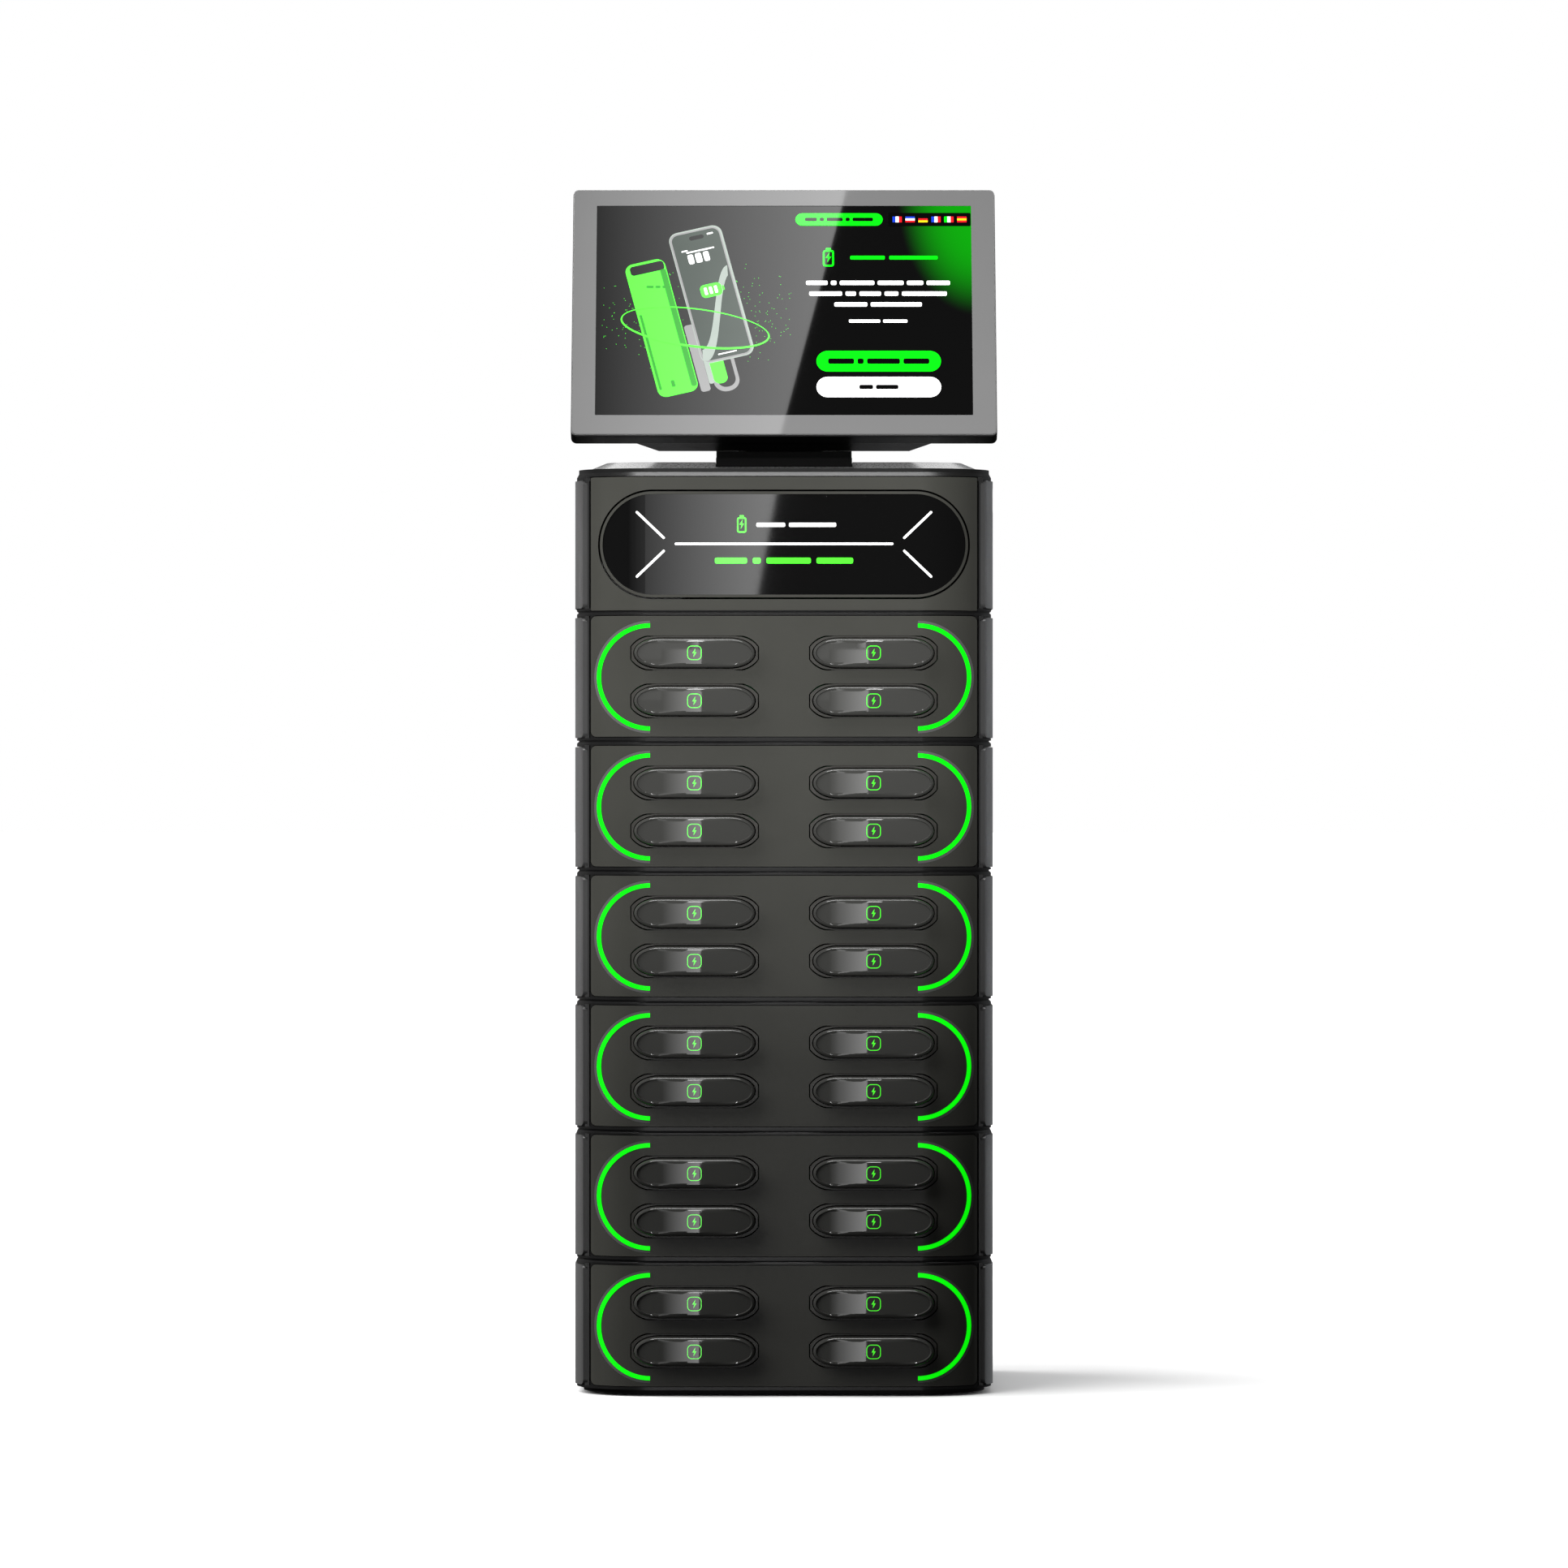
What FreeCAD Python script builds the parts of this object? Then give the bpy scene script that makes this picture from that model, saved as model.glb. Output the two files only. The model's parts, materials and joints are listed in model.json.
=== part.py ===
"""Stackable power-bank rental kiosk: six four-bay modules, a head unit with a lit sign, and a tilting
touch display on a short neck.

Frame: millimetres, +Z up, the front faces -Y, the origin is under the middle of the kiosk at floor level.
Each sub-part is written to parts/NODE.step.
"""
import FreeCAD
import Part

import math
import os

# --- driving dimensions -------------------------------------------------------------------------
CORE_W = 239.0            # width of the housings, without the raised side covers
FRONT_Y = -104.0          # plane of the flat middle of the front
REAR_Y = 111.0            # plane of the housings' back
FRONT_R = 40.0            # plan radius of the front corners
REAR_R = 20.0             # plan radius of the rear corners
WALL = 3.5                # housing wall
SKIN = 1.2                # depth of the seam groove between stacked housings
SEAM = 0.6                # height of that groove

MODULES = 6
PITCH = 74.4              # height of one four-bay module
BASE_H = 3.5              # floor to the underside of the lowest module
FEET_H = 2.0
HEAD_H = 81.6             # head unit, up to its rim

FASCIA_T = 3.0            # front panel thickness
FASCIA_HALF_W = 110.9     # the panel wraps round the corner up to this half-width
FASCIA_BOTTOM = 2.3       # strip of housing below the panel
FASCIA_TOP = 2.9          # strip of housing above the panel
FASCIA_R = 3.0
GAP = 0.4                 # shut-line between panels
SLOT_GAP = 0.65           # shut-line round each slot's bezel

FEATURE_DROP = 0.75       # slots and light arcs sit this far below the module's middle
SLOT_X = 51.2             # columns of slots, either side of the middle
SLOT_DZ = 27.4            # spacing of the two rows
SLOT_W, SLOT_H = 72.4, 18.6
BANK_W, BANK_H = 69.0, 16.7
BANK_END = 14.3           # half-length of the elliptical ends of the bank's section
BANK_LENGTH = 143.0
BANK_PROUD = 10.0         # how far a seated bank stands out of the front
BANK_CLEAR = 0.6          # all-round clearance of a bank in its guide
BANK_EDGE_R = 2.0

ARC_X = 76.7              # centre of each light arc
ARC_R_OUT, ARC_R_IN = 30.7, 28.3
ARC_BAND_R = 32.4         # outer radius of the dark recess round the arc

SIGN_W, SIGN_H = 213.4, 62.8
SIGN_RING = 2.6           # trim ring round the sign, with the gap outside it
SIGN_GAP = 1.1            # that gap
SIGN_DROP = 2.8           # the sign's centre is this far below the head's middle

SCREEN_TILT = 24.0        # degrees back from vertical at rest
SCREEN_W, SCREEN_H = 244.6, 159.2
SCREEN_FOOT = (-100.0, 550.6)      # y, z of the glass's lower front edge
ACTIVE_W, ACTIVE_H = 217.0, 135.6
ACTIVE_BOTTOM = 12.85     # glass edge to the picture's lower edge
GLASS_T = 2.0
SHELL_T = 12.2            # glass face to the back of the thin shell
BULGE_T = 24.0            # glass face to the back of the middle housing
PIVOT_UP, PIVOT_BACK = 16.0, 33.0  # hinge axis, measured on the display

NECK_W = 78.0
LID_Z = 535.6
PIN_R = 3.0
BARREL_R = 8.0

BOLT_R = 3.3
BOLT_X, BOLT_Y0, BOLT_Y1 = 100.0, -45.0, 85.0

# --- levels worked out from the above --------------------------------------------------------------
HEAD_Z0 = BASE_H + MODULES * PITCH
RIM_Z = HEAD_Z0 + HEAD_H
FASCIA_HEAD_TOP = RIM_Z - 4.4
BANK_FRONT = FRONT_Y - BANK_PROUD
BANK_REAR = BANK_FRONT + BANK_LENGTH
SIGN_Z = (HEAD_Z0 + RIM_Z) / 2 - SIGN_DROP
FAR = 400.0
TILT = math.radians(SCREEN_TILT)


def vec(x, y, z):
    return FreeCAD.Vector(x, y, z)


# --- outlines ---------------------------------------------------------------------------------------
def line(a, b):
    return Part.LineSegment(a, b).toShape()


def arc(a, middle, b):
    return Part.Arc(a, middle, b).toShape()


def plan_wire(offset, z):
    """The cabinet's outline seen from above, grown by offset."""
    hw, yf, yr = CORE_W / 2 + offset, FRONT_Y - offset, REAR_Y + offset
    rf, rr = FRONT_R + offset, REAR_R + offset
    k = 1 - math.sqrt(0.5)
    p = [vec(x, y, z) for x, y in (
        (-hw + rf, yf), (hw - rf, yf), (hw, yf + rf), (hw, yr - rr),
        (hw - rr, yr), (-hw + rr, yr), (-hw, yr - rr), (-hw, yf + rf))]
    edges = [
        line(p[0], p[1]), arc(p[1], vec(hw - rf * k, yf + rf * k, z), p[2]),
        line(p[2], p[3]), arc(p[3], vec(hw - rr * k, yr - rr * k, z), p[4]),
        line(p[4], p[5]), arc(p[5], vec(-hw + rr * k, yr - rr * k, z), p[6]),
        line(p[6], p[7]), arc(p[7], vec(-hw + rf * k, yf + rf * k, z), p[0])]
    return Part.Wire(edges)


def slab(offset, z0, z1):
    return Part.Face(plan_wire(offset, z0)).extrude(vec(0, 0, z1 - z0))


def skin(outer, inner, z0, z1):
    """The layer of the cabinet's surface between two offsets."""
    return slab(outer, z0, z1).cut(slab(inner, z0 - 1, z1 + 1))


def rounded_rect(place, w, h, r):
    """A rounded rectangle; place(u, v) puts a point of it in space."""
    u, v, k = w / 2, h / 2, r * (1 - math.sqrt(0.5))
    p = [place(*q) for q in ((-u + r, -v), (u - r, -v), (u, -v + r), (u, v - r),
                             (u - r, v), (-u + r, v), (-u, v - r), (-u, -v + r))]
    m = [place(*q) for q in ((u - k, -v + k), (u - k, v - k), (-u + k, v - k), (-u + k, -v + k))]
    edges = []
    for i in range(4):
        edges.append(line(p[2 * i], p[2 * i + 1]))
        edges.append(arc(p[2 * i + 1], m[i], p[(2 * i + 2) % 8]))
    return Part.Wire(edges)


def front_box(cx, cz, w, h, r, y0, y1):
    """A rounded rectangle seen from the front, from y0 to y1."""
    wire = rounded_rect(lambda u, v: vec(cx + u, y0, cz + v), w, h, r)
    return Part.Face(wire).extrude(vec(0, y1 - y0, 0))


def side_box(cy, cz, w, h, r, x0, x1):
    """A rounded rectangle seen from the side, from x0 to x1."""
    wire = rounded_rect(lambda u, v: vec(x0, cy + u, cz + v), w, h, r)
    return Part.Face(wire).extrude(vec(x1 - x0, 0, 0))


def box(x0, x1, y0, y1, z0, z1):
    return Part.makeBox(x1 - x0, y1 - y0, z1 - z0, vec(x0, y0, z0))


def bank_section(cx, cz, grow, y0, y1):
    """The bank's section, a flat bar with elliptical ends, from y0 to y1."""
    a, b, half = BANK_END + grow, BANK_H / 2 + grow, BANK_W / 2 - BANK_END
    edges = [line(vec(cx - half, y0, cz + b), vec(cx + half, y0, cz + b)),
             line(vec(cx - half, y0, cz - b), vec(cx + half, y0, cz - b))]
    for side, start in ((1, -math.pi / 2), (-1, math.pi / 2)):
        c = vec(cx + side * half, y0, cz)
        ellipse = Part.Ellipse(c + vec(a, 0, 0), c + vec(0, 0, b), c)
        edges.append(Part.ArcOfEllipse(ellipse, start, start + math.pi).toShape())
    wire = Part.Wire(Part.__sortEdges__(edges))
    return Part.Face(wire).extrude(vec(0, y1 - y0, 0))


def slot_section(cx, cz, grow, y0, y1):
    """The slot surround: flat top and bottom, bowed shoulders and short upright ends."""
    w, h = SLOT_W / 2 + grow, SLOT_H / 2 + grow
    upright, shoulder, bow_in, bow_up = 3.7, 9.3, 3.3, 6.8 + grow * 0.7
    edges = [line(vec(cx - w + shoulder, y0, cz + h), vec(cx + w - shoulder, y0, cz + h)),
             line(vec(cx - w + shoulder, y0, cz - h), vec(cx + w - shoulder, y0, cz - h))]
    for sx in (-1, 1):
        edges.append(line(vec(cx + sx * w, y0, cz - upright), vec(cx + sx * w, y0, cz + upright)))
        for sz in (-1, 1):
            edges.append(arc(vec(cx + sx * w, y0, cz + sz * upright),
                             vec(cx + sx * (w - bow_in), y0, cz + sz * bow_up),
                             vec(cx + sx * (w - shoulder), y0, cz + sz * h)))
    wire = Part.Wire(Part.__sortEdges__(edges))
    return Part.Face(wire).extrude(vec(0, y1 - y0, 0))


def half_ring(side, cx, cz, r_in, r_out, y0, y1):
    """The outer half of a ring seen from the front: side is -1 on the left, 1 on the right."""
    top, bottom = [[vec(cx, y0, cz + s * r) for r in (r_in, r_out)] for s in (1, -1)]
    edges = [line(top[0], top[1]), line(bottom[0], bottom[1])]
    for i, r in enumerate((r_in, r_out)):
        edges.append(arc(top[i], vec(cx + side * r, y0, cz), bottom[i]))
    wire = Part.Wire(Part.__sortEdges__(edges))
    return Part.Face(wire).extrude(vec(0, y1 - y0, 0))


def fuse_all(shapes):
    whole = shapes[0]
    for s in shapes[1:]:
        whole = whole.fuse(s)
    return whole.removeSplitter()


def at(shape, x=0.0, y=0.0, z=0.0):
    moved = shape.copy()
    moved.translate(vec(x, y, z))
    return moved


def edges_where(shape, test):
    return [e for e in shape.Edges if all(test(v.Point) for v in e.Vertexes)]


# --- places of the four bays in a module whose underside is at z = 0 -------------------------------
FEATURE_Z = PITCH / 2 - FEATURE_DROP
BAYS = [(sx * SLOT_X, FEATURE_Z + sz * SLOT_DZ / 2) for sz in (1, -1) for sx in (-1, 1)]
FRONT_NEAR, FRONT_DEEP = FRONT_Y - 20, FRONT_Y + 30


# --- one module --------------------------------------------------------------------------------------
SIDE_Y0, SIDE_Y1 = -83.6, 88.0     # side cover, front and rear edges
SIDE_MARGIN_LOW, SIDE_MARGIN_HIGH = 1.8, 3.6
SIDE_PROUD = 1.0
GROOVE_Y0 = -88.4                  # the dark groove between front panel and side cover


def side_window(side, z0, z1, grow):
    """The outline of one side cover, run out sideways through the wall."""
    cy, cz = (SIDE_Y0 + SIDE_Y1) / 2, (z0 + z1) / 2
    w, h = SIDE_Y1 - SIDE_Y0 + 2 * grow, z1 - z0 + 2 * grow
    x0 = side * 90.0
    return side_box(cy, cz, w, h, 3.0 + grow, x0, x0 + side * 60.0)


def side_cover(side, z0, z1):
    layer = skin(SIDE_PROUD, -1.2, z0 - 2, z1 + 2)
    return layer.common(side_window(side, z0, z1, 0))


def housing_ring(z0, height, chamfer_in, chamfer_up):
    """Outer skin with a bevelled top edge, on a core that reaches both neighbours."""
    outer = slab(0, z0 + SEAM / 2, z0 + height - SEAM / 2)
    top = z0 + height - SEAM / 2
    rim = Part.makeLoft([plan_wire(0, top - chamfer_up), plan_wire(-chamfer_in, top)], True, True)
    cap = slab(1, top - chamfer_up, top + 1).cut(rim)
    outer = outer.cut(cap)
    core = slab(-SKIN, z0, z0 + height)
    ring = outer.fuse(core).cut(slab(-WALL, z0 - 1, z0 + height + 1))
    return ring.removeSplitter()


def side_grooves(z0, z1):
    """Upright grooves in both front corners, between the front panel and the side covers."""
    layer = skin(2, -2.6, z0, z1)
    cuts = []
    for side in (-1, 1):
        x0, x1 = sorted((side * (FASCIA_HALF_W + GAP - 0.2), side * 125))
        cuts.append(layer.common(box(x0, x1, GROOVE_Y0, SIDE_Y0 + 0.1, z0, z1)))
    return cuts


def module_housing():
    ring = housing_ring(0, PITCH, 1.2, 1.2)
    window_h = PITCH - FASCIA_BOTTOM - FASCIA_TOP + 2 * GAP
    window_z = (FASCIA_BOTTOM + PITCH - FASCIA_TOP) / 2
    window = front_box(0, window_z, 2 * (FASCIA_HALF_W + GAP), window_h, FASCIA_R + GAP,
                       FRONT_NEAR, FRONT_DEEP + 6)
    rear_window = front_box(0, PITCH / 2, REAR_WINDOW_W, 54, 4, REAR_Y - 10, REAR_Y + 5)
    cuts = [window, rear_window] + side_grooves(1.4, PITCH - 2.4)
    cuts += screw_bores(PITCH / 2, REAR_COVER_H)
    pocket = skin(2, -1.25, 0, PITCH)
    for side in (-1, 1):
        cuts.append(pocket.common(side_window(side, SIDE_MARGIN_LOW, PITCH - SIDE_MARGIN_HIGH, GAP)))
    for c in cuts:
        ring = ring.cut(c)
    floor = slab(-WALL + 0.2, 0, 2.0)
    floor = floor.cut(front_box_flat(0, 75, 150, 40, 6, -1, 3))
    for x, y in bolt_points():
        floor = floor.cut(Part.makeCylinder(BOLT_R, 6, vec(x, y, -2)))
    return ring.fuse(floor).removeSplitter()


def front_box_flat(cx, cy, w, h, r, z0, z1):
    """A rounded rectangle seen from above, from z0 to z1."""
    wire = rounded_rect(lambda u, v: vec(cx + u, cy + v, z0), w, h, r)
    return Part.Face(wire).extrude(vec(0, 0, z1 - z0))


def bolt_points():
    return [(sx * BOLT_X, y) for y in (BOLT_Y0, BOLT_Y1) for sx in (-1, 1)]


def module_front():
    panel = skin(0, -FASCIA_T, 0, PITCH)
    h = PITCH - FASCIA_BOTTOM - FASCIA_TOP
    cz = (FASCIA_BOTTOM + PITCH - FASCIA_TOP) / 2
    panel = panel.common(front_box(0, cz, 2 * FASCIA_HALF_W, h, FASCIA_R, FRONT_NEAR, FRONT_DEEP))
    for x, z in BAYS:
        panel = panel.cut(slot_section(x, z, SLOT_GAP, FRONT_NEAR, FRONT_DEEP))
    for side in (-1, 1):
        strip = half_ring(side, side * ARC_X, FEATURE_Z, ARC_R_IN - 0.05, ARC_R_OUT + 0.05,
                          FRONT_NEAR, FRONT_DEEP)
        band = half_ring(side, side * ARC_X, FEATURE_Z, ARC_R_OUT - 0.3, ARC_BAND_R,
                         FRONT_NEAR, FRONT_DEEP)
        panel = panel.cut(skin(2, -2.05, 0, PITCH).common(strip))
        panel = panel.cut(skin(2, -0.9, 0, PITCH).common(band))
    return panel.removeSplitter()


def light_arcs():
    layer = skin(0.25, -2.0, 0, PITCH)
    return [layer.common(half_ring(side, side * ARC_X, FEATURE_Z, ARC_R_IN, ARC_R_OUT,
                                   FRONT_NEAR, FRONT_DEEP)) for side in (-1, 1)]


def slot_guides():
    """Bezel ring in the front panel and, behind it, the sleeve that the bank slides in."""
    flange_layer = skin(0.3, -3.3, 0, PITCH)
    guides = []
    for x, z in BAYS:
        flange = flange_layer.common(slot_section(x, z, 0, FRONT_NEAR, FRONT_DEEP))
        sleeve = bank_section(x, z, BANK_CLEAR + 1.0, FRONT_Y + 2.3, BANK_REAR - 5)
        guide = flange.fuse(sleeve).cut(bank_section(x, z, BANK_CLEAR, FRONT_NEAR, FAR))
        guides.append(guide.removeSplitter())
    return guides


def contact_board():
    """Upright circuit board behind the four banks, with a spring-contact block for each."""
    y0 = BANK_REAR + 2.0
    board = front_box(0, PITCH / 2, 210, 60, 2, y0, y0 + 1.6)
    parts = [board]
    for x, z in BAYS:
        parts.append(box(x - 11, x + 11, y0 - 1.6, y0 + 0.1, z - 4, z + 4))
    board = fuse_all(parts)
    for x, z in BAYS:
        board = board.cut(Part.makeCylinder(3.3, 10, vec(x + 22, y0 - 4, z), vec(0, 1, 0)))
    return board


def ejector_drives():
    """Geared motor and push rod behind each bay."""
    y0 = BANK_REAR + 4.6
    drives = []
    for x, z in BAYS:
        rod = Part.makeCylinder(2.5, 6, vec(x + 22, BANK_REAR + 0.6, z), vec(0, 1, 0))
        gearbox = box(x - 6, x + 30, y0 + 0.4, y0 + 20, z - 9, z + 9)
        motor = Part.makeCylinder(7.5, 26, vec(x + 4, y0 + 19, z), vec(0, 1, 0))
        drives.append(fuse_all([rod, gearbox, motor]))
    return drives


REAR_COVER_W, REAR_COVER_H, REAR_COVER_T = 190.0, 66.0, 3.0
REAR_WINDOW_W = 162.0
SCREW_R = 1.5


def screw_places(cz, h):
    return [(sx * (REAR_COVER_W / 2 - 7), cz + sz * (h / 2 - 7)) for sx in (-1, 1) for sz in (-1, 1)]


def screw_bores(cz, h):
    """Pilot holes in a housing's back wall for the rear cover's screws."""
    return [Part.makeCylinder(SCREW_R + 0.02, 9, vec(x, REAR_Y - 6, z), vec(0, 1, 0))
            for x, z in screw_places(cz, h)]


def rear_cover(cz, h):
    cover = front_box(0, cz, REAR_COVER_W, h, 4, REAR_Y, REAR_Y + REAR_COVER_T)
    rim = edges_where(cover, lambda p: p.y > REAR_Y + REAR_COVER_T - 0.01)
    return cover.makeChamfer(0.8, rim)


def vents(cover, cz):
    for side in (-1, 1):
        for i in range(9):
            x = side * (24 + 6.4 * i)
            cover = cover.cut(front_box(x, cz, 2.4, 30, 1.15, REAR_Y - 1, REAR_Y + 9))
    return cover


def cover_screws(cz, h):
    """Low button-head screws in the four corners of a rear cover, seated in its face."""
    screws = []
    for x, z in screw_places(cz, h):
        head = Part.makeCylinder(3.0, 1.6, vec(x, REAR_Y + REAR_COVER_T - 1.7, z), vec(0, 1, 0))
        shank = Part.makeCylinder(SCREW_R, 4.5, vec(x, REAR_Y - 3, z), vec(0, 1, 0))
        slot = Part.makeBox(4.4, 1.0, 0.9, vec(x - 2.2, REAR_Y + REAR_COVER_T - 0.9, z - 0.45))
        screws.append(head.fuse(shank).cut(slot).removeSplitter())
    return screws


def drill_for_screws(cover, cz, h):
    for x, z in screw_places(cz, h):
        cover = cover.cut(Part.makeCylinder(3.1, 5, vec(x, REAR_Y + REAR_COVER_T - 1.8, z), vec(0, 1, 0)))
        cover = cover.cut(Part.makeCylinder(1.6, 9, vec(x, REAR_Y - 2, z), vec(0, 1, 0)))
    return cover


def power_bank(x, z):
    body = bank_section(x, z, 0, BANK_FRONT, BANK_REAR)
    front = edges_where(body, lambda p: p.y < BANK_FRONT + 0.01)
    body = body.makeFillet(BANK_EDGE_R, front)
    rear = edges_where(body, lambda p: p.y > BANK_REAR - 0.01)
    return body.makeChamfer(0.8, rear)


# --- the head unit -------------------------------------------------------------------------------------
HEAD_SIDE_TOP = RIM_Z - 6.4
INLET_X, SWITCH_X, INLET_Z = -60.0, -34.0, HEAD_Z0 + 24.0
PORT_Y0, PORT_Y1, PORT_Z0, PORT_Z1 = -68.0, -28.0, 506.5, 521.5


def head_housing():
    ring = housing_ring(HEAD_Z0, HEAD_H, 2.2, 4.1)
    h = FASCIA_HEAD_TOP - HEAD_Z0
    window = front_box(0, HEAD_Z0 + h / 2, 2 * (FASCIA_HALF_W + GAP), h + 0.01, 0.004,
                       FRONT_NEAR, FRONT_DEEP + 6)
    rear_window = front_box(0, HEAD_Z0 + 36, REAR_WINDOW_W, 56, 4, REAR_Y - 10, REAR_Y + 5)
    cuts = [window, rear_window] + side_grooves(HEAD_Z0 + 1.4, FASCIA_HEAD_TOP)
    cuts += screw_bores(HEAD_Z0 + 36, REAR_COVER_H)
    pocket = skin(2, -1.25, HEAD_Z0, RIM_Z)
    for side in (-1, 1):
        cuts.append(pocket.common(side_window(side, HEAD_Z0 + SIDE_MARGIN_LOW, HEAD_SIDE_TOP, GAP)))
    for c in cuts:
        ring = ring.cut(c)
    floor = slab(-WALL + 0.2, HEAD_Z0, HEAD_Z0 + 2)
    floor = floor.cut(front_box_flat(0, 75, 150, 40, 6, HEAD_Z0 - 1, HEAD_Z0 + 3))
    shelf = slab(-WALL + 0.2, RIM_Z - 3, RIM_Z - 0.6).cut(slab(-12, RIM_Z - 4, RIM_Z + 1))
    return ring.fuse(floor).fuse(shelf).removeSplitter()


def sign_pill(w, h):
    return front_box(0, SIGN_Z, w, h, h / 2 - 0.01, FRONT_NEAR, FRONT_DEEP)


def head_front():
    """Front panel with the pill-shaped sign opening, and the trim ring that frames the sign."""
    z0, z1 = HEAD_Z0 + SEAM / 2, FASCIA_HEAD_TOP - 0.5
    panel = skin(0, -FASCIA_T, z0, z1)
    panel = panel.common(front_box(0, (z0 + z1) / 2, 2 * FASCIA_HALF_W, z1 - z0, 0.6,
                                   FRONT_NEAR, FRONT_DEEP))
    panel = panel.cut(sign_pill(SIGN_W, SIGN_H))
    ring = skin(0.2, -FASCIA_T, z0, z1).common(sign_pill(SIGN_W - 2 * SIGN_GAP, SIGN_H - 2 * SIGN_GAP))
    ring = ring.cut(sign_pill(SIGN_W - 2 * SIGN_RING, SIGN_H - 2 * SIGN_RING))
    return [panel, ring]


BAR_T = 1.35
SIGN_BARS = [(-61.9, 0.3, 61.9, 0.3)] + [
    (sx * 84.2, sz * 18.4, sx * 68.9, sz * 3.8) for sx in (-1, 1) for sz in (-1, 1)]


def bar_prism(x0, z0, x1, z1, grow):
    """A round-ended bar between two points of the sign, run through the front."""
    length, angle = math.hypot(x1 - x0, z1 - z0), math.atan2(z1 - z0, x1 - x0)
    t = BAR_T + 2 * grow
    bar = front_box(0, 0, length + t, t, t / 2 - 0.01, FRONT_NEAR, FRONT_DEEP)
    bar.rotate(vec(0, 0, 0), vec(0, -1, 0), math.degrees(angle))
    bar.translate(vec((x0 + x1) / 2, 0, SIGN_Z + (z0 + z1) / 2))
    return bar


def sign():
    """The smoked sign panel and, let into it, five light bars."""
    w, h = SIGN_W - 2 * SIGN_RING - 0.1, SIGN_H - 2 * SIGN_RING - 0.1
    panel = skin(-0.3, -2.3, HEAD_Z0, RIM_Z).common(sign_pill(w, h))
    bars = []
    for b in SIGN_BARS:
        panel = panel.cut(bar_prism(*b, 0.03))
        bars.append(skin(-0.2, -2.5, HEAD_Z0, RIM_Z).common(bar_prism(*b, 0)))
    return panel, bars


def top_lid():
    lid = Part.makeLoft([plan_wire(-7, RIM_Z), plan_wire(-17, LID_Z)], True, True)
    flange = slab(-7, RIM_Z - 0.6, RIM_Z)
    lid = lid.fuse(flange).removeSplitter()
    return lid.cut(neck_plinth(0.3)).cut(box(-20, 20, -58, -40, RIM_Z - 2, LID_Z + 2))


# --- the display: built upright with its lower front glass edge at the origin, then tilted back ---------
def on_display(shape):
    tilted = shape.copy()
    tilted.rotate(vec(0, 0, 0), vec(1, 0, 0), -SCREEN_TILT)
    tilted.translate(vec(0, *SCREEN_FOOT))
    return tilted


def pivot():
    """y, z of the hinge axis."""
    y = SCREEN_FOOT[0] + PIVOT_UP * math.sin(TILT) + PIVOT_BACK * math.cos(TILT)
    z = SCREEN_FOOT[1] + PIVOT_UP * math.cos(TILT) - PIVOT_BACK * math.sin(TILT)
    return y, z


def x_cylinder(r, x0, x1, y, z):
    return Part.makeCylinder(r, x1 - x0, vec(x0, y, z), vec(1, 0, 0))


BULGE_HALF_BASE, BULGE_HALF_TOP = 85.6, 72.0
BULGE_UP = 118.0
SHELL_R = 3.2


def display_shell():
    cz = SCREEN_H / 2
    tray = front_box(0, cz, SCREEN_W, SCREEN_H, SHELL_R, GLASS_T + 0.2, SHELL_T)
    back = edges_where(tray, lambda p: p.y > SHELL_T - 0.01)
    tray = tray.makeFillet(1.6, back)
    wires = []
    for y, half, low, high in ((SHELL_T - 0.1, BULGE_HALF_BASE, 1.0, BULGE_UP),
                               (BULGE_T, BULGE_HALF_TOP, 1.6, BULGE_UP - 14)):
        wires.append(Part.makePolygon([vec(-half, y, low), vec(half, y, low), vec(half, y, high),
                                       vec(-half, y, high), vec(-half, y, low)]))
    bulge = Part.makeLoft(wires, True, True)
    shell = tray.fuse(bulge).removeSplitter()
    shell = shell.cut(front_box(0, cz, SCREEN_W - 4, SCREEN_H - 4, 3, 0, SHELL_T - 2.2))
    shell = shell.cut(box(-66, 66, 5, BULGE_T - 2.4, 6, BULGE_UP - 22))
    shell = shell.cut(front_box(0, PIVOT_UP + 24, 26, 10, 3, BULGE_T - 4, BULGE_T + 1))
    return shell


def touch_glass():
    glass = front_box(0, SCREEN_H / 2, SCREEN_W - 0.6, SCREEN_H - 0.6, SHELL_R - 0.3, 0, GLASS_T)
    rim = edges_where(glass, lambda p: p.y < 0.01)
    return glass.makeChamfer(0.5, rim)


def lcd_panel():
    cz = ACTIVE_BOTTOM + ACTIVE_H / 2
    return front_box(0, cz, ACTIVE_W + 6, ACTIVE_H + 6, 1, GLASS_T + 0.1, GLASS_T + 6.6)


KNUCKLE_IN, KNUCKLE_OUT = 22.4, 38.5


def display_bracket():
    """Plate on the display's back with two knuckles on the hinge axis."""
    plate = front_box(0, 50, 77, 44, 4, BULGE_T, BULGE_T + 3)
    parts = [plate]
    for side in (-1, 1):
        x0, x1 = sorted((side * KNUCKLE_IN, side * KNUCKLE_OUT))
        arm = box(x0, x1, BULGE_T, PIVOT_BACK + 4, PIVOT_UP, 40)
        knuckle = x_cylinder(BARREL_R, x0, x1, PIVOT_BACK, PIVOT_UP)
        parts.append(fuse_all([arm, knuckle]))
    bracket = fuse_all(parts)
    bracket = bracket.cut(x_cylinder(PIN_R + 0.05, -FAR / 2, FAR / 2, PIVOT_BACK, PIVOT_UP))
    bracket = bracket.cut(front_box(0, PIVOT_UP + 24, 26, 10, 3, BULGE_T - 1, BULGE_T + 6))
    return bracket


PLINTH_Y0, PLINTH_Y1, PLINTH_Z1 = -97.6, -34.0, 537.6


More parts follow.
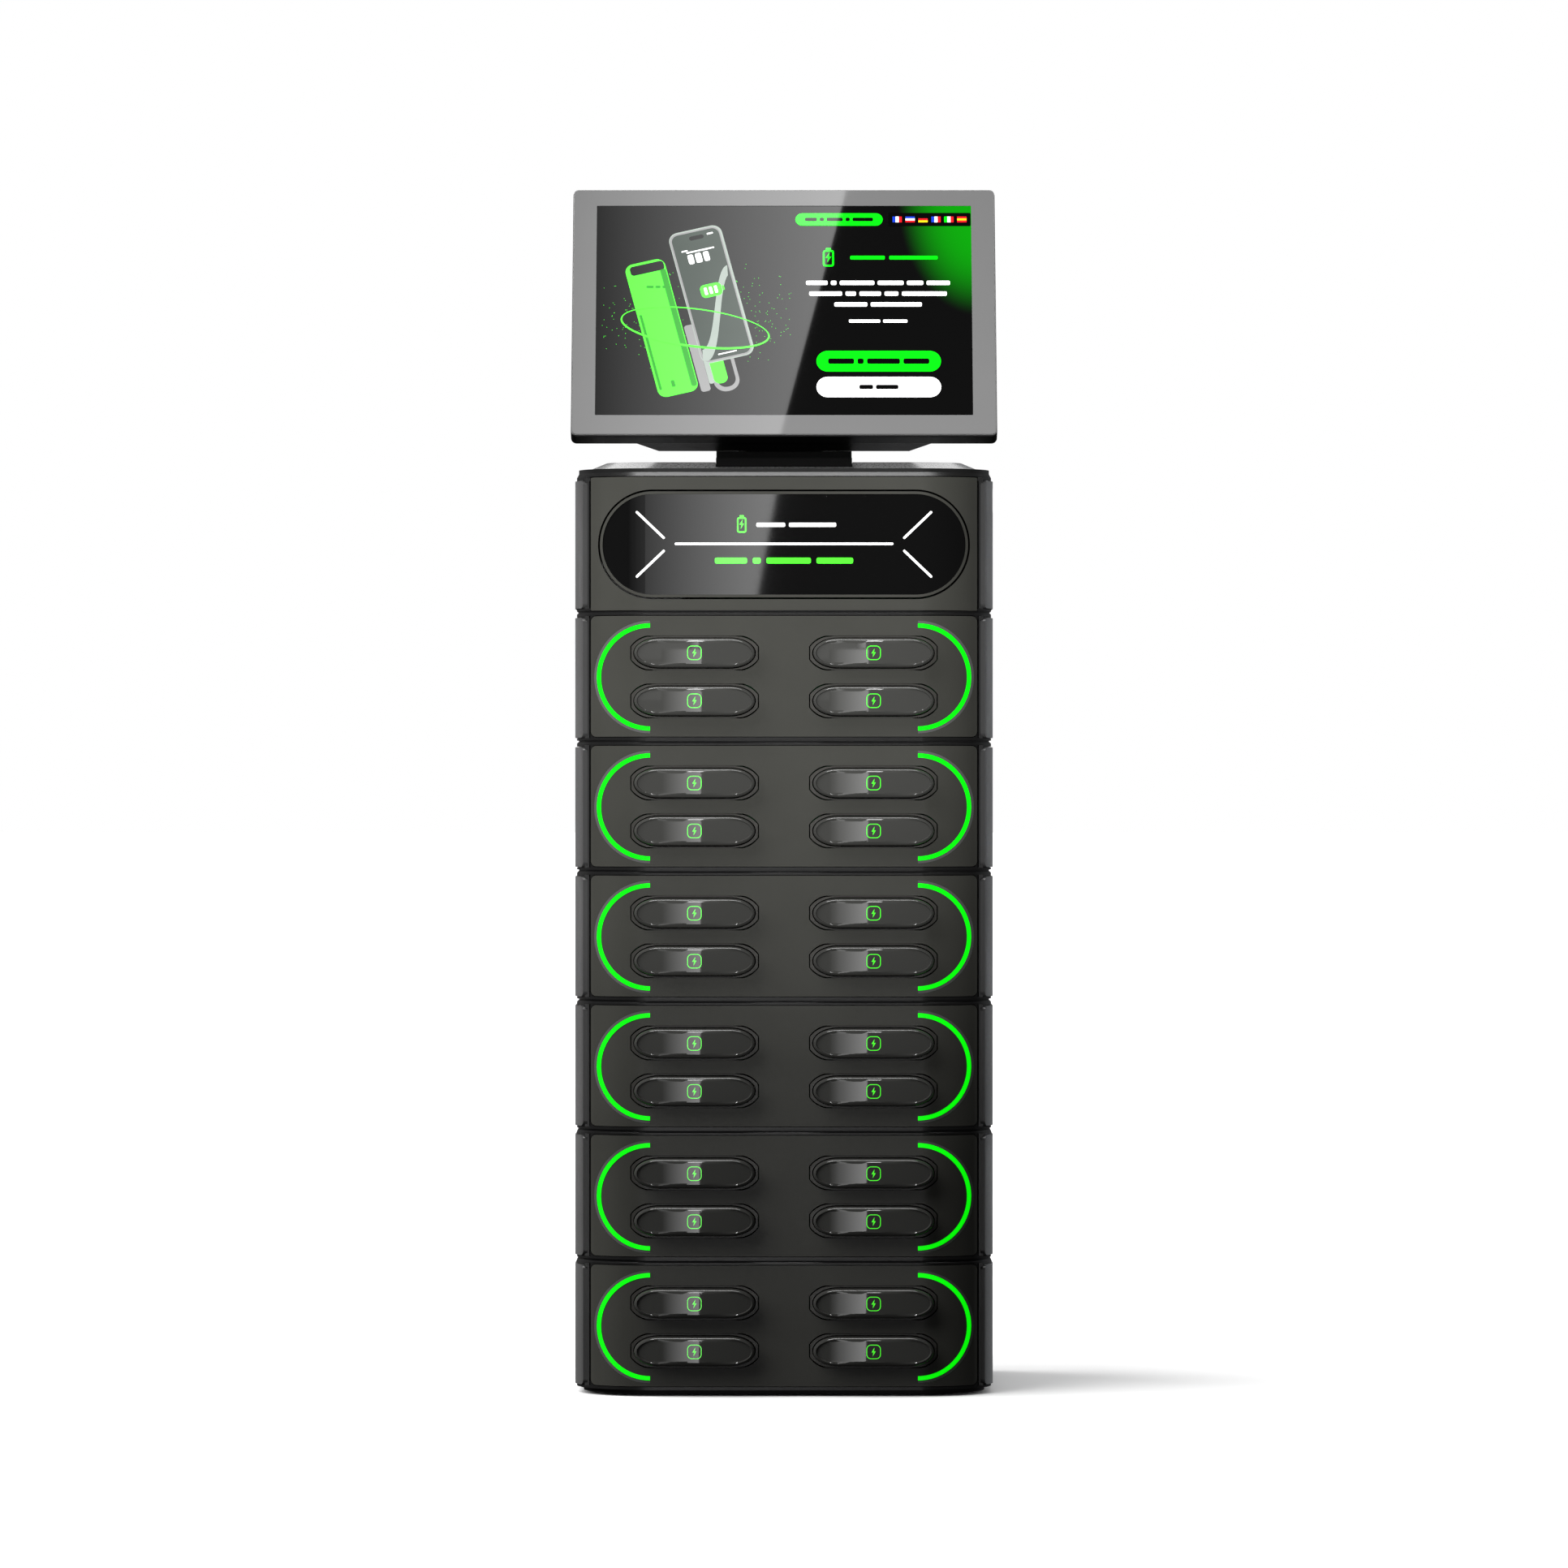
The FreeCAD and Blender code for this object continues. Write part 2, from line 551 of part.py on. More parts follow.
def neck_plinth(grow):
    """The neck's foot, which stands in a shallow pocket of the lid."""
    return box(-NECK_W / 2 - grow, NECK_W / 2 + grow, PLINTH_Y0 - grow, PLINTH_Y1 + grow,
               RIM_Z + 1.2, PLINTH_Z1 + grow)


def display_neck():
    """Plinth let into the lid, a riser and the hinge's middle barrel."""
    y, z = pivot()
    plinth = neck_plinth(0)
    riser = box(-NECK_W / 2, NECK_W / 2, y - 6.5, y + 20, PLINTH_Z1 - 1, z - BARREL_R - 1.2)
    riser_edges = [e for e in riser.Edges if all(v.Point.y > y + 19 and v.Point.z > z - 10 for v in e.Vertexes)]
    riser = riser.makeChamfer(3.5, riser_edges)
    web = box(-KNUCKLE_IN + 0.4, KNUCKLE_IN - 0.4, y - 6, y + 10, z - BARREL_R - 2, z)
    web = web.common(x_cylinder(11.5, -FAR / 2, FAR / 2, y, z))
    barrel = x_cylinder(BARREL_R, -KNUCKLE_IN + 0.4, KNUCKLE_IN - 0.4, y, z)
    neck = fuse_all([plinth, riser, web, barrel])
    neck = neck.cut(x_cylinder(PIN_R, -FAR / 2, FAR / 2, y, z))
    return neck.cut(box(-18, 18, y + 5, y + 16, RIM_Z - 2, z - BARREL_R - 3.5))


def hinge_pin():
    y, z = pivot()
    pin = x_cylinder(PIN_R, -KNUCKLE_OUT - 0.8, KNUCKLE_OUT + 0.8, y, z)
    return pin.makeChamfer(0.4, [e for e in pin.Edges if e.Closed])


# --- power and control ------------------------------------------------------------------------------------
def power_inlet():
    """Appliance inlet in the head's rear cover: flange, socket cavity and three blades."""
    flange = front_box(INLET_X, INLET_Z, 31, 24, 2, REAR_Y + REAR_COVER_T - 1.5, REAR_Y + REAR_COVER_T)
    body = front_box(INLET_X, INLET_Z, 27.4, 20, 1.5, REAR_Y - 18, REAR_Y + REAR_COVER_T - 1)
    inlet = flange.fuse(body).cut(front_box(INLET_X, INLET_Z, 24, 16.5, 3, REAR_Y - 14, REAR_Y + 9))
    for dx, dz in ((-7, -2), (7, -2), (0, 2.5)):
        blade = box(INLET_X + dx - 1, INLET_X + dx + 1, REAR_Y - 15, REAR_Y - 4,
                    INLET_Z + dz - 2, INLET_Z + dz + 2)
        inlet = inlet.fuse(blade)
    return inlet.removeSplitter()


SWITCH_W, SWITCH_H = 9.0, 16.0
SWITCH_AXIS_Y = REAR_Y - 3.5


def power_switch():
    """Rocker with two slightly angled halves, turning on a cross pin."""
    x0, x1 = SWITCH_X - SWITCH_W / 2, SWITCH_X + SWITCH_W / 2
    h = SWITCH_H / 2
    profile = [(SWITCH_AXIS_Y - 4, -3), (SWITCH_AXIS_Y - 4, 3), (REAR_Y - 1.2, h - 0.6),
               (REAR_Y + 1.1, h - 0.6), (REAR_Y + 0.6, 0), (REAR_Y + 1.9, -h + 0.6),
               (REAR_Y - 1.2, -h + 0.6)]
    points = [vec(x0, y, INLET_Z + z) for y, z in profile]
    rocker = Part.Face(Part.makePolygon(points + points[:1])).extrude(vec(x1 - x0, 0, 0))
    return rocker.fuse(x_cylinder(1.2, x0 - 1.5, x1 + 1.5, SWITCH_AXIS_Y, INLET_Z)).removeSplitter()


def head_rear_cover():
    cz, h = HEAD_Z0 + 36, REAR_COVER_H
    cover = drill_for_screws(vents(rear_cover(cz, h), cz + 10), cz, h)
    cover = cover.fuse(front_box(-47, INLET_Z, 66, 30, 3, REAR_Y, REAR_Y + REAR_COVER_T - 0.2))
    cover = cover.cut(front_box(INLET_X, INLET_Z, 27.8, 20.4, 1.6, REAR_Y - 1, REAR_Y + 9))
    cover = cover.cut(front_box(INLET_X, INLET_Z, 31.4, 24.4, 2.1, REAR_Y + 1.4, REAR_Y + 9))
    cover = cover.cut(front_box(SWITCH_X, INLET_Z, SWITCH_W + 1, SWITCH_H + 1.4, 1, REAR_Y - 1, REAR_Y + 9))
    return cover.removeSplitter()


def switch_cradle():
    """Ears on the head's rear cover that carry the rocker's pin."""
    ears = []
    for side in (-1, 1):
        x0, x1 = sorted((SWITCH_X + side * (SWITCH_W / 2 + 0.5), SWITCH_X + side * (SWITCH_W / 2 + 2.3)))
        ear = box(x0, x1, SWITCH_AXIS_Y - 3, REAR_Y, INLET_Z - 5, INLET_Z + 5)
        ears.append(ear.cut(x_cylinder(1.25, x0 - 1, x1 + 1, SWITCH_AXIS_Y, INLET_Z)))
    return ears


def main_board():
    board = front_box_flat(30, 0, 150, 110, 3, HEAD_Z0 + 8, HEAD_Z0 + 9.6)
    chips = [(0, 10, 18, 18, 3), (40, -20, 14, 14, 6), (75, 30, 24, 12, 8), (-20, -30, 30, 8, 9)]
    parts = [board]
    for x, y, w, d, h in chips:
        parts.append(box(x - w / 2, x + w / 2, y - d / 2, y + d / 2, HEAD_Z0 + 9.5, HEAD_Z0 + 9.6 + h))
    for sx in (-38, 98):
        for sy in (-48, 48):
            parts.append(Part.makeCylinder(3, 6.1, vec(sx, sy, HEAD_Z0 + 2)))
    return fuse_all(parts)


def power_supply():
    case = front_box_flat(-82, 0, 52, 130, 3, HEAD_Z0 + 6, HEAD_Z0 + 44)
    case = case.makeChamfer(1.0, edges_where(case, lambda p: p.z > HEAD_Z0 + 43.9))
    legs = [box(-82 + sx * 20 - 4, -82 + sx * 20 + 4, sy * 55 - 4, sy * 55 + 4, HEAD_Z0 + 2, HEAD_Z0 + 6.1)
            for sx in (-1, 1) for sy in (-1, 1)]
    return fuse_all([case] + legs)


# --- base -----------------------------------------------------------------------------------------------------
def base_plate():
    plate = slab(-4.0, 1.5, BASE_H)
    for x, y in bolt_points():
        plate = plate.cut(Part.makeCylinder(BOLT_R, 6, vec(x, y, 0)))
    for x, y in FEET:
        plate = plate.cut(Part.makeCylinder(11.2, 0.5, vec(x, y, 1.5)))
    return plate


FEET = [(sx * 88.0, y) for y in (-72.0, 60.0) for sx in (-1, 1)]


def rubber_feet():
    feet = []
    for x, y in FEET:
        foot = Part.makeCone(10.2, 11.0, FEET_H, vec(x, y, 0))
        feet.append(foot)
    return feet


# --- write every node ---------------------------------------------------------------------------------------
def save(name, shapes):
    shapes = shapes if isinstance(shapes, list) else [shapes]
    solids = [s for shape in shapes for s in shape.Solids]
    bad = [s for s in solids if not s.isValid() or s.Volume <= 0]
    print(f"{name}: {len(solids)} solids, {sum(s.Volume for s in solids) / 1000:.1f} cm3"
          + (f", {len(bad)} INVALID" if bad else ""))
    whole = solids[0] if len(solids) == 1 else Part.makeCompound(solids)
    whole.exportStep(f"parts/{name}.step")


def main():
    os.makedirs("parts", exist_ok=True)
    levels = [BASE_H + i * PITCH for i in range(MODULES)]

    save("base_plate", base_plate())
    save("rubber_feet", rubber_feet())

    housing, front = module_housing(), module_front()
    for i, z in enumerate(levels, 1):
        save(f"module_{i}_housing", at(housing, z=z))
        save(f"module_{i}_front", at(front, z=z))

    arcs, guides, board, drives = light_arcs(), slot_guides(), contact_board(), ejector_drives()
    save("light_arcs", [at(s, z=z) for z in levels for s in arcs])
    save("slot_guides", [at(s, z=z) for z in levels for s in guides])
    save("contact_boards", [at(board, z=z) for z in levels])
    save("ejector_drives", [at(s, z=z) for z in levels for s in drives])

    covers = [side_cover(s, SIDE_MARGIN_LOW, PITCH - SIDE_MARGIN_HIGH) for s in (-1, 1)]
    head_left, head_right = [side_cover(s, HEAD_Z0 + SIDE_MARGIN_LOW, HEAD_SIDE_TOP) for s in (-1, 1)]
    port = side_box((PORT_Y0 + PORT_Y1) / 2, (PORT_Z0 + PORT_Z1) / 2, PORT_Y1 - PORT_Y0,
                    PORT_Z1 - PORT_Z0, 3, 90, 130)
    save("side_covers", [at(s, z=z) for z in levels for s in covers] + [head_left, head_right.cut(port)])

    rear = drill_for_screws(vents(rear_cover(PITCH / 2, REAR_COVER_H), PITCH / 2), PITCH / 2, REAR_COVER_H)
    save("rear_covers", [at(rear, z=z) for z in levels] + [fuse_all([head_rear_cover()] + switch_cradle())])
    screws = cover_screws(PITCH / 2, REAR_COVER_H)
    save("rear_screws", [at(s, z=z) for z in levels for s in screws] + cover_screws(HEAD_Z0 + 36, REAR_COVER_H))

    for i, z in enumerate(levels, 1):
        for letter, (x, dz) in zip("abcd", BAYS):
            save(f"power_bank_{i}{letter}", power_bank(x, z + dz))

    panel, bars = sign()
    save("head_housing", head_housing())
    save("head_front", head_front())
    save("sign_panel", panel)
    save("sign_light_bars", bars)
    save("top_lid", top_lid())
    save("main_board", main_board())
    save("power_supply", power_supply())
    save("power_inlet", power_inlet())
    save("power_switch", power_switch())

    save("display_neck", display_neck())
    save("hinge_pin", hinge_pin())
    save("display_bracket", on_display(display_bracket()))
    save("display_shell", on_display(display_shell()))
    save("touch_glass", on_display(touch_glass()))
    save("lcd_panel", on_display(lcd_panel()))
    print("hinge axis at y, z =", [round(v, 3) for v in pivot()])


main()
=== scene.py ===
"""Looks for the phone charging kiosk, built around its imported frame."""
import json
import math

import bmesh
import bpy
from mathutils import Matrix, Vector


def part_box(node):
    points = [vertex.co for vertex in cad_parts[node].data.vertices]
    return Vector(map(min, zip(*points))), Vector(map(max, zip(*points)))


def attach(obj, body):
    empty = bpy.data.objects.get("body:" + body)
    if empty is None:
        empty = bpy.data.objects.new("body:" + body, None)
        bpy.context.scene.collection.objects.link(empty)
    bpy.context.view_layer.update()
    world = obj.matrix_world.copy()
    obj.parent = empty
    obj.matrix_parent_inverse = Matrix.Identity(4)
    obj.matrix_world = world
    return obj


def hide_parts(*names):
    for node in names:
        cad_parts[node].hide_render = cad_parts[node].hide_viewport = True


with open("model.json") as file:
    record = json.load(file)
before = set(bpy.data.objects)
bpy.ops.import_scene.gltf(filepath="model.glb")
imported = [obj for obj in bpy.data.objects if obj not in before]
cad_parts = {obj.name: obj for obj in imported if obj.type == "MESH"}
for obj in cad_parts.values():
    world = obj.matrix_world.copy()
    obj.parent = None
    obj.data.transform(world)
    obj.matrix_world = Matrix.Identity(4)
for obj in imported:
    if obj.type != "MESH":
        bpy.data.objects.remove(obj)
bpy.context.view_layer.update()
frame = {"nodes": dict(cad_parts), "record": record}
MM = 0.001


def col(value):
    """A linear colour from one sRGB grey or three sRGB parts, 0 to 255."""
    parts = (value,) * 3 if isinstance(value, (int, float)) else value
    lin = [p / 255 / 12.92 if p / 255 <= 0.04045 else ((p / 255 + 0.055) / 1.055) ** 2.4 for p in parts]
    return (*lin, 1.0)


# --- sizes that the frame gives ---------------------------------------------------------------
bank_lo, bank_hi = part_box("power_bank_6a")
sign_lo, sign_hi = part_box("sign_panel")
front_lo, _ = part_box("module_1_front")
BANK_W, BANK_H = bank_hi.x - bank_lo.x, bank_hi.z - bank_lo.z
BANK_L = bank_hi.y - bank_lo.y
# The display leans back by TILT about the foot of its glass; v runs up the glass from there.
TILT = math.radians(24.0)
UP = Vector((0, math.sin(TILT), math.cos(TILT)))
OUT = Vector((0, -math.cos(TILT), math.sin(TILT)))
FOOT = Vector((0, -0.100, 0.5506))
SCREEN_H = 159.2 * MM
ACTIVE_W, ACTIVE_H, ACTIVE_V = 0.2170, 0.1356, 0.08065
# The modules are stacked at this pitch, in millimetres, on a base of this height.
PITCH, BASE_H, LEVELS = 74.4, 3.5, 6

# --- camera: level, straight in front, with a long lens -------------------------------------------
EYE = Vector((0, -4.874, 0.3507))
cam_data = bpy.data.cameras.new("camera")
cam_data.sensor_width = 36
cam_data.lens = 191.3
cam_data.clip_end = 60
cam = bpy.data.objects.new("camera", cam_data)
cam.location = EYE
cam.rotation_euler = (math.radians(90), 0, 0)
bpy.context.scene.collection.objects.link(cam)
bpy.context.scene.camera = cam
bpy.context.scene.view_settings.view_transform = "Standard"


# --- materials ------------------------------------------------------------------------------------
def material(name):
    """A new node material, with its tree and its main shader."""
    m = bpy.data.materials.new(name)
    m.use_nodes = True
    tree = m.node_tree
    return m, tree, tree.nodes["Principled BSDF"]


def finish(name, colour, rough, vary=0.08, grain=900.0, bump=0.05, metal=0.0, coat=0.0, coat_rough=0.1,
           stretch=(1, 1, 1), spread=0.06, glow=None, strength=0.0, specular=0.5):
    """A moulded, painted or metal finish: a slow drift of tone, uneven roughness and a raised fine grain."""
    m, tree, bsdf = material(name)
    new, link = tree.nodes.new, tree.links.new
    pos = new("ShaderNodeTexCoord")
    mapping = new("ShaderNodeMapping")
    mapping.inputs["Scale"].default_value = stretch
    link(pos.outputs["Object"], mapping.inputs["Vector"])
    slow = new("ShaderNodeTexNoise")
    slow.inputs["Scale"].default_value = 14
    slow.inputs["Detail"].default_value = 4
    fine = new("ShaderNodeTexNoise")
    fine.inputs["Scale"].default_value = grain
    fine.inputs["Detail"].default_value = 3
    for tex in (slow, fine):
        link(mapping.outputs["Vector"], tex.inputs["Vector"])
    ramp = new("ShaderNodeValToRGB")
    ramp.color_ramp.elements[0].position = 0.3
    ramp.color_ramp.elements[1].position = 0.7
    ramp.color_ramp.elements[0].color = [c * (1 - vary) for c in colour[:3]] + [1]
    ramp.color_ramp.elements[1].color = [min(1, c * (1 + vary)) for c in colour[:3]] + [1]
    link(slow.outputs["Fac"], ramp.inputs["Fac"])
    link(ramp.outputs["Color"], bsdf.inputs["Base Color"])
    span = new("ShaderNodeMapRange")
    span.inputs["To Min"].default_value = max(0.01, rough - spread)
    span.inputs["To Max"].default_value = min(1, rough + spread)
    link(fine.outputs["Fac"], span.inputs["Value"])
    link(span.outputs["Result"], bsdf.inputs["Roughness"])
    if bump:
        raised = new("ShaderNodeBump")
        raised.inputs["Strength"].default_value = bump
        raised.inputs["Distance"].default_value = 0.0001
        link(fine.outputs["Fac"], raised.inputs["Height"])
        link(raised.outputs["Normal"], bsdf.inputs["Normal"])
    bsdf.inputs["Metallic"].default_value = metal
    bsdf.inputs["Coat Weight"].default_value = coat
    bsdf.inputs["Coat Roughness"].default_value = coat_rough
    bsdf.inputs["Specular IOR Level"].default_value = specular
    if glow:
        bsdf.inputs["Emission Color"].default_value = glow
        bsdf.inputs["Emission Strength"].default_value = strength
    return m


GREEN = (0.0, 1.0, 0.0, 1)
M = {
    "base_black": finish("base_black", col(22), 0.5, bump=0.3),
    "foot_rubber": finish("foot_rubber", col(24), 0.85, bump=0.5, grain=500),
    "housing_grey": finish("housing_grey", col(28), 0.32, bump=0.06, coat=0.2, coat_rough=0.2),
    "band_grey": finish("band_grey", col(88), 0.4, bump=0.05),
    # Near black for the strips laid in the corner grooves: painted shade that darkens the grooves.
    "groove_shade_black": finish("groove_shade_black", col(8), 0.8, bump=0.2, specular=0.1),
    # The lid's grey is lightened so that its top looks as bright as the light it reflects: a painted
    # reflection.
    "lid_sheen_grey": finish("lid_sheen_grey", col(104), 0.28, bump=0.08, coat=0.3, coat_rough=0.15),
    "front_grey": finish("front_grey", col((62, 62, 58)), 0.36, bump=0.06),
    "side_grey": finish("side_grey", col((60, 60, 60)), 0.32, bump=0.06),
    "rear_black": finish("rear_black", col(30), 0.6, bump=0.4, grain=700),
    "screw_steel": finish("screw_steel", col(170), 0.3, metal=1, stretch=(1, 1, 8)),
    "arc_green": finish("arc_green", col((10, 200, 20)), 0.35, bump=0.0, glow=GREEN, strength=0.85),
    "guide_black": finish("guide_black", col((62, 61, 58)), 0.30, bump=0.05),
    "board_green": finish("board_green", col((14, 84, 44)), 0.4, bump=0.3, grain=400),
    "drive_grey": finish("drive_grey", col(90), 0.5, bump=0.2),
    "bank_shell": finish("bank_shell", col((40, 230, 60)), 0.4, bump=0.1),
    "bank_cap": finish("bank_cap", col((64, 64, 62)), 0.03, bump=0.0, spread=0.015, vary=0.03),
    "sign_smoke": finish("sign_smoke", col(13), 0.02, bump=0.0, spread=0.008, vary=0.03),
    "sign_white": finish("sign_white", col(230), 0.4, bump=0.0, glow=(1, 1, 1, 1), strength=0.9),
    "supply_metal": finish("supply_metal", col(180), 0.35, metal=1, stretch=(1, 12, 1)),
    "inlet_black": finish("inlet_black", col(20), 0.4, bump=0.2),
    "switch_black": finish("switch_black", col(14), 0.15, bump=0.0),
    "neck_metal": finish("neck_metal", col(5), 0.45, bump=0.2, specular=0.2),
    "pin_steel": finish("pin_steel", col(150), 0.25, metal=1, stretch=(10, 1, 1)),
    "display_black": finish("display_black", col(6), 0.4, bump=0.3, specular=0.25),
    "lcd_black": finish("lcd_black", col(12), 0.2, bump=0.0),
    "border_silver": finish("border_silver", col(112), 0.02, bump=0.0, spread=0.008, vary=0.02),
    "border_rim": finish("border_rim", col(95), 0.3, bump=0.0, metal=0.6),
    "contact_gold": finish("contact_gold", col((212, 170, 90)), 0.25, metal=1, bump=0.0),
}

# The lit marks on the screen: surface colour, glow, its strength, and how much the tone drifts.
SCREEN_MARKS = {
    "shade": ((20, 110, 20), (0.02, 0.30, 0.01, 1), 0.8, 0.08),
    "glass_dark": ((40, 50, 44), (0.5, 0.62, 0.54, 1), 0.07, 0.4),
    "glass_pale": ((130, 140, 132), (0.8, 0.9, 0.84, 1), 0.22, 0.3),
    "green": ((10, 220, 20), GREEN, 0.85, 0.02),
    "white": (235, (1, 1, 1, 1), 0.95, 0.01),
    "dark": (6, None, 0.0, 0.05),
    "grey": (120, (1, 1, 1, 1), 0.12, 0.1),
    "lime": ((60, 230, 40), (0.10, 1.0, 0.04, 1), 0.75, 0.05),
    "red": ((200, 20, 25), (0.7, 0.01, 0.02, 1), 0.8, 0.08),
    "blue": ((20, 50, 160), (0.01, 0.04, 0.5, 1), 0.8, 0.08),
    "yellow": ((240, 190, 20), (0.9, 0.5, 0.01, 1), 0.8, 0.08),
}
for mark, (tone, mark_glow, mark_strength, drift) in SCREEN_MARKS.items():
    M[f"ui_{mark}"] = finish(f"ui_{mark}", col(tone), 0.02, bump=0.0, spread=0.008, glow=mark_glow,
                             strength=mark_strength, vary=drift)


# --- mesh helpers ---------------------------------------------------------------------------------
def mesh_object(name, verts, faces, mat, body, smooth=True):
    """A piece from vertices in metres and faces, riding on a body and taking the finish it is given."""
    data = bpy.data.meshes.new(name)
    data.from_pydata([tuple(v) for v in verts], [], faces)
    bm = bmesh.new()
    bm.from_mesh(data)
    bmesh.ops.recalc_face_normals(bm, faces=bm.faces)
    bm.to_mesh(data)
    bm.free()
    data.materials.append(mat)
    obj = bpy.data.objects.new(name, data)
    bpy.context.scene.collection.objects.link(obj)
    if smooth:
        data.polygons.foreach_set("use_smooth", [True] * len(data.polygons))
        data.set_sharp_from_angle(angle=math.radians(32))
    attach(obj, body)
    return obj


def skin_loops(loops, cap_start=True, cap_end=True):
    """Vertices and faces of a skin over closed loops of equal length."""
    n = len(loops[0])
    verts = [v for loop in loops for v in loop]
    faces = []
    for i in range(len(loops) - 1):
        for j in range(n):
            k = (j + 1) % n
            faces.append((i * n + j, i * n + k, (i + 1) * n + k, (i + 1) * n + j))
    if cap_start:
        faces.append(tuple(range(n)))
    if cap_end:
        faces.append(tuple(range((len(loops) - 1) * n, len(loops) * n)))
    return verts, faces


class Sheet:
    """Gathers thin plates laid on a plane into one mesh."""

    def __init__(self, origin, right, up, out):
        self.origin, self.right, self.up, self.out = origin, right, up, out
        self.verts, self.faces = [], []

    def point(self, u, v, w):
        return self.origin + self.right * (u * MM) + self.up * (v * MM) + self.out * (w * MM)

    def plate(self, outline, low, high):
        """A plate of an outline in millimetres, from height low to height high."""
        base = len(self.verts)
        n = len(outline)
        for w in (low, high):
            self.verts += [self.point(u, v, w) for u, v in outline]
        for j in range(n):
            k = (j + 1) % n
            self.faces.append((base + j, base + k, base + n + k, base + n + j))
        self.faces.append(tuple(base + j for j in range(n))[::-1])
        self.faces.append(tuple(base + n + j for j in range(n)))

    def ring(self, outer, inner, low, high):
        """A plate with a hole: outer and inner are outlines with the same number of points."""
        base = len(self.verts)
        n = len(outer)
        for outline, w in ((outer, low), (outer, high), (inner, high), (inner, low)):
            self.verts += [self.point(u, v, w) for u, v in outline]
        for i in range(4):
            for j in range(n):
                k = (j + 1) % n
                a, b = base + i * n, base + ((i + 1) % 4) * n
                self.faces.append((a + j, a + k, b + k, b + j))

    def done(self, name, mat, body, slot, smooth=False):
        return mesh_object(name, self.verts, self.faces, mat, body, smooth=smooth)


def rounded(cx, cy, w, h, r, turn=0.0, steps=6):
    """Outline of a rounded rectangle, turned by an angle in degrees."""
    r = min(r, w / 2 - 1e-4, h / 2 - 1e-4)
    points = []
    for qx, qy, start in ((1, 1, 0), (-1, 1, 90), (-1, -1, 180), (1, -1, 270)):
        for i in range(steps + 1):
            a = math.radians(start + 90 * i / steps)
            points.append((qx * (w / 2 - r) + r * math.cos(a), qy * (h / 2 - r) + r * math.sin(a)))
    c, s = math.cos(math.radians(turn)), math.sin(math.radians(turn))
    return [(cx + x * c - y * s, cy + x * s + y * c) for x, y in points]


def oval(cx, cy, a, b, turn=0.0, steps=72):
    """Outline of an ellipse with half axes a and b, turned by an angle in degrees."""
    c, s = math.cos(math.radians(turn)), math.sin(math.radians(turn))
    turns = [2 * math.pi * i / steps for i in range(steps)]
    points = [(a * math.cos(t), b * math.sin(t)) for t in turns]
    return [(cx + x * c - y * s, cy + x * s + y * c) for x, y in points]


def words(sheet, cx, cy, widths, height, gap, low, high):
    """A line of generic word-shaped bars, centred."""
    x = cx - (sum(widths) + gap * (len(widths) - 1)) / 2
    for w in widths:
        sheet.plate(rounded(x + w / 2, cy, w, height, height * 0.3, steps=3), low, high)
        x += w + gap


BOLT = [(0.07, 0.33), (-0.16, -0.04), (-0.02, -0.04), (-0.07, -0.33), (0.16, 0.04), (0.02, 0.04)]


def battery(sheet, cx, cy, size, low, high):
    """A generic battery pictogram: an upright cell outline, its terminal and a bolt inside."""
    w, h, t = size * 0.52, size * 0.86, size * 0.085
    sheet.ring(rounded(cx, cy - size * 0.05, w, h, size * 0.12),
               rounded(cx, cy - size * 0.05, w - 2 * t, h - 2 * t, size * 0.05), low, high)
    sheet.plate(rounded(cx, cy + size * 0.44, size * 0.24, size * 0.10, size * 0.03, steps=3), low, high)
    sheet.plate([(cx + x * size * 0.8, cy + y * size * 0.8) for x, y in BOLT], low, high)


# --- carried-over parts: each gets its slot's material --------------------------------------------
slot_of = {s["node"]: s["material_slot"] for s in frame["record"]["subparts"]}
ALIAS = {"screen_glass": "border_silver"}
for node, obj in frame["nodes"].items():
    obj.data.materials.clear()
    obj.data.materials.append(M[ALIAS.get(slot_of[node], slot_of[node])])
# The lid takes the lightened grey, a painted reflection of the light on its top.
frame["nodes"]["top_lid"].data.materials[0] = M["lid_sheen_grey"]

# --- power banks ----------------------------------------------------------------------------------
END = 14.3         # half length of each elliptical end of the bank's section, in millimetres
CAP_L = 21.0       # length of the dark cap on the bank's front end
ARC_STEPS, FLAT_STEPS = 24, 12


def bank_loop(inset, y, crown=False):
    """The bank's section, a flat bar with elliptical ends, drawn in by inset, at depth y."""
    half, a, b = BANK_W / MM / 2 - END, END - inset, BANK_H / MM / 2 - inset
    points = []
    for side in (1, -1):
        for i in range(ARC_STEPS + 1):
            t = math.radians(-90 + 180 * i / ARC_STEPS)
            points.append((side * (half + a * math.cos(t)), side * b * math.sin(t)))
        for i in range(1, FLAT_STEPS):
            points.append((side * half * (1 - 2 * i / FLAT_STEPS), side * b))
    return [Vector((x, y + (0.0015 * x * x + 0.0006 * z * z if crown else 0), z)) * MM for x, z in points]


def bank_cap_mesh():
    loops = [bank_loop(0, CAP_L), bank_loop(0, 2.4)]
    loops += [bank_loop(2 * (1 - math.cos(t)), 2.4 - 2 * math.sin(t))
              for t in (math.radians(a) for a in (15, 30, 45, 60, 75))]
    loops += [bank_loop(d, 0, crown=True) for d in (2.05, 3, 4, 5, 6, 7, 7.9)]
    verts, faces = skin_loops(loops, cap_end=False)
    base = len(verts) - len(loops[-1])
    # The middle of the face is closed by a row of quads between the facing points of the last loop.
    pairs = [(11 - k, 13 + k) for k in range(12)] + [(71 - m, 25 + m) for m in range(11)]
    pairs += [(60 - k, 36 + k) for k in range(12)]
    faces += [(base + 12, base + 13, base + 11), (base + 48, base + pairs[-1][0], base + pairs[-1][1])]
    for (b1, t1), (b2, t2) in zip(pairs, pairs[1:]):
        faces.append((base + b1, base + t1, base + t2, base + b2))
    return verts, faces


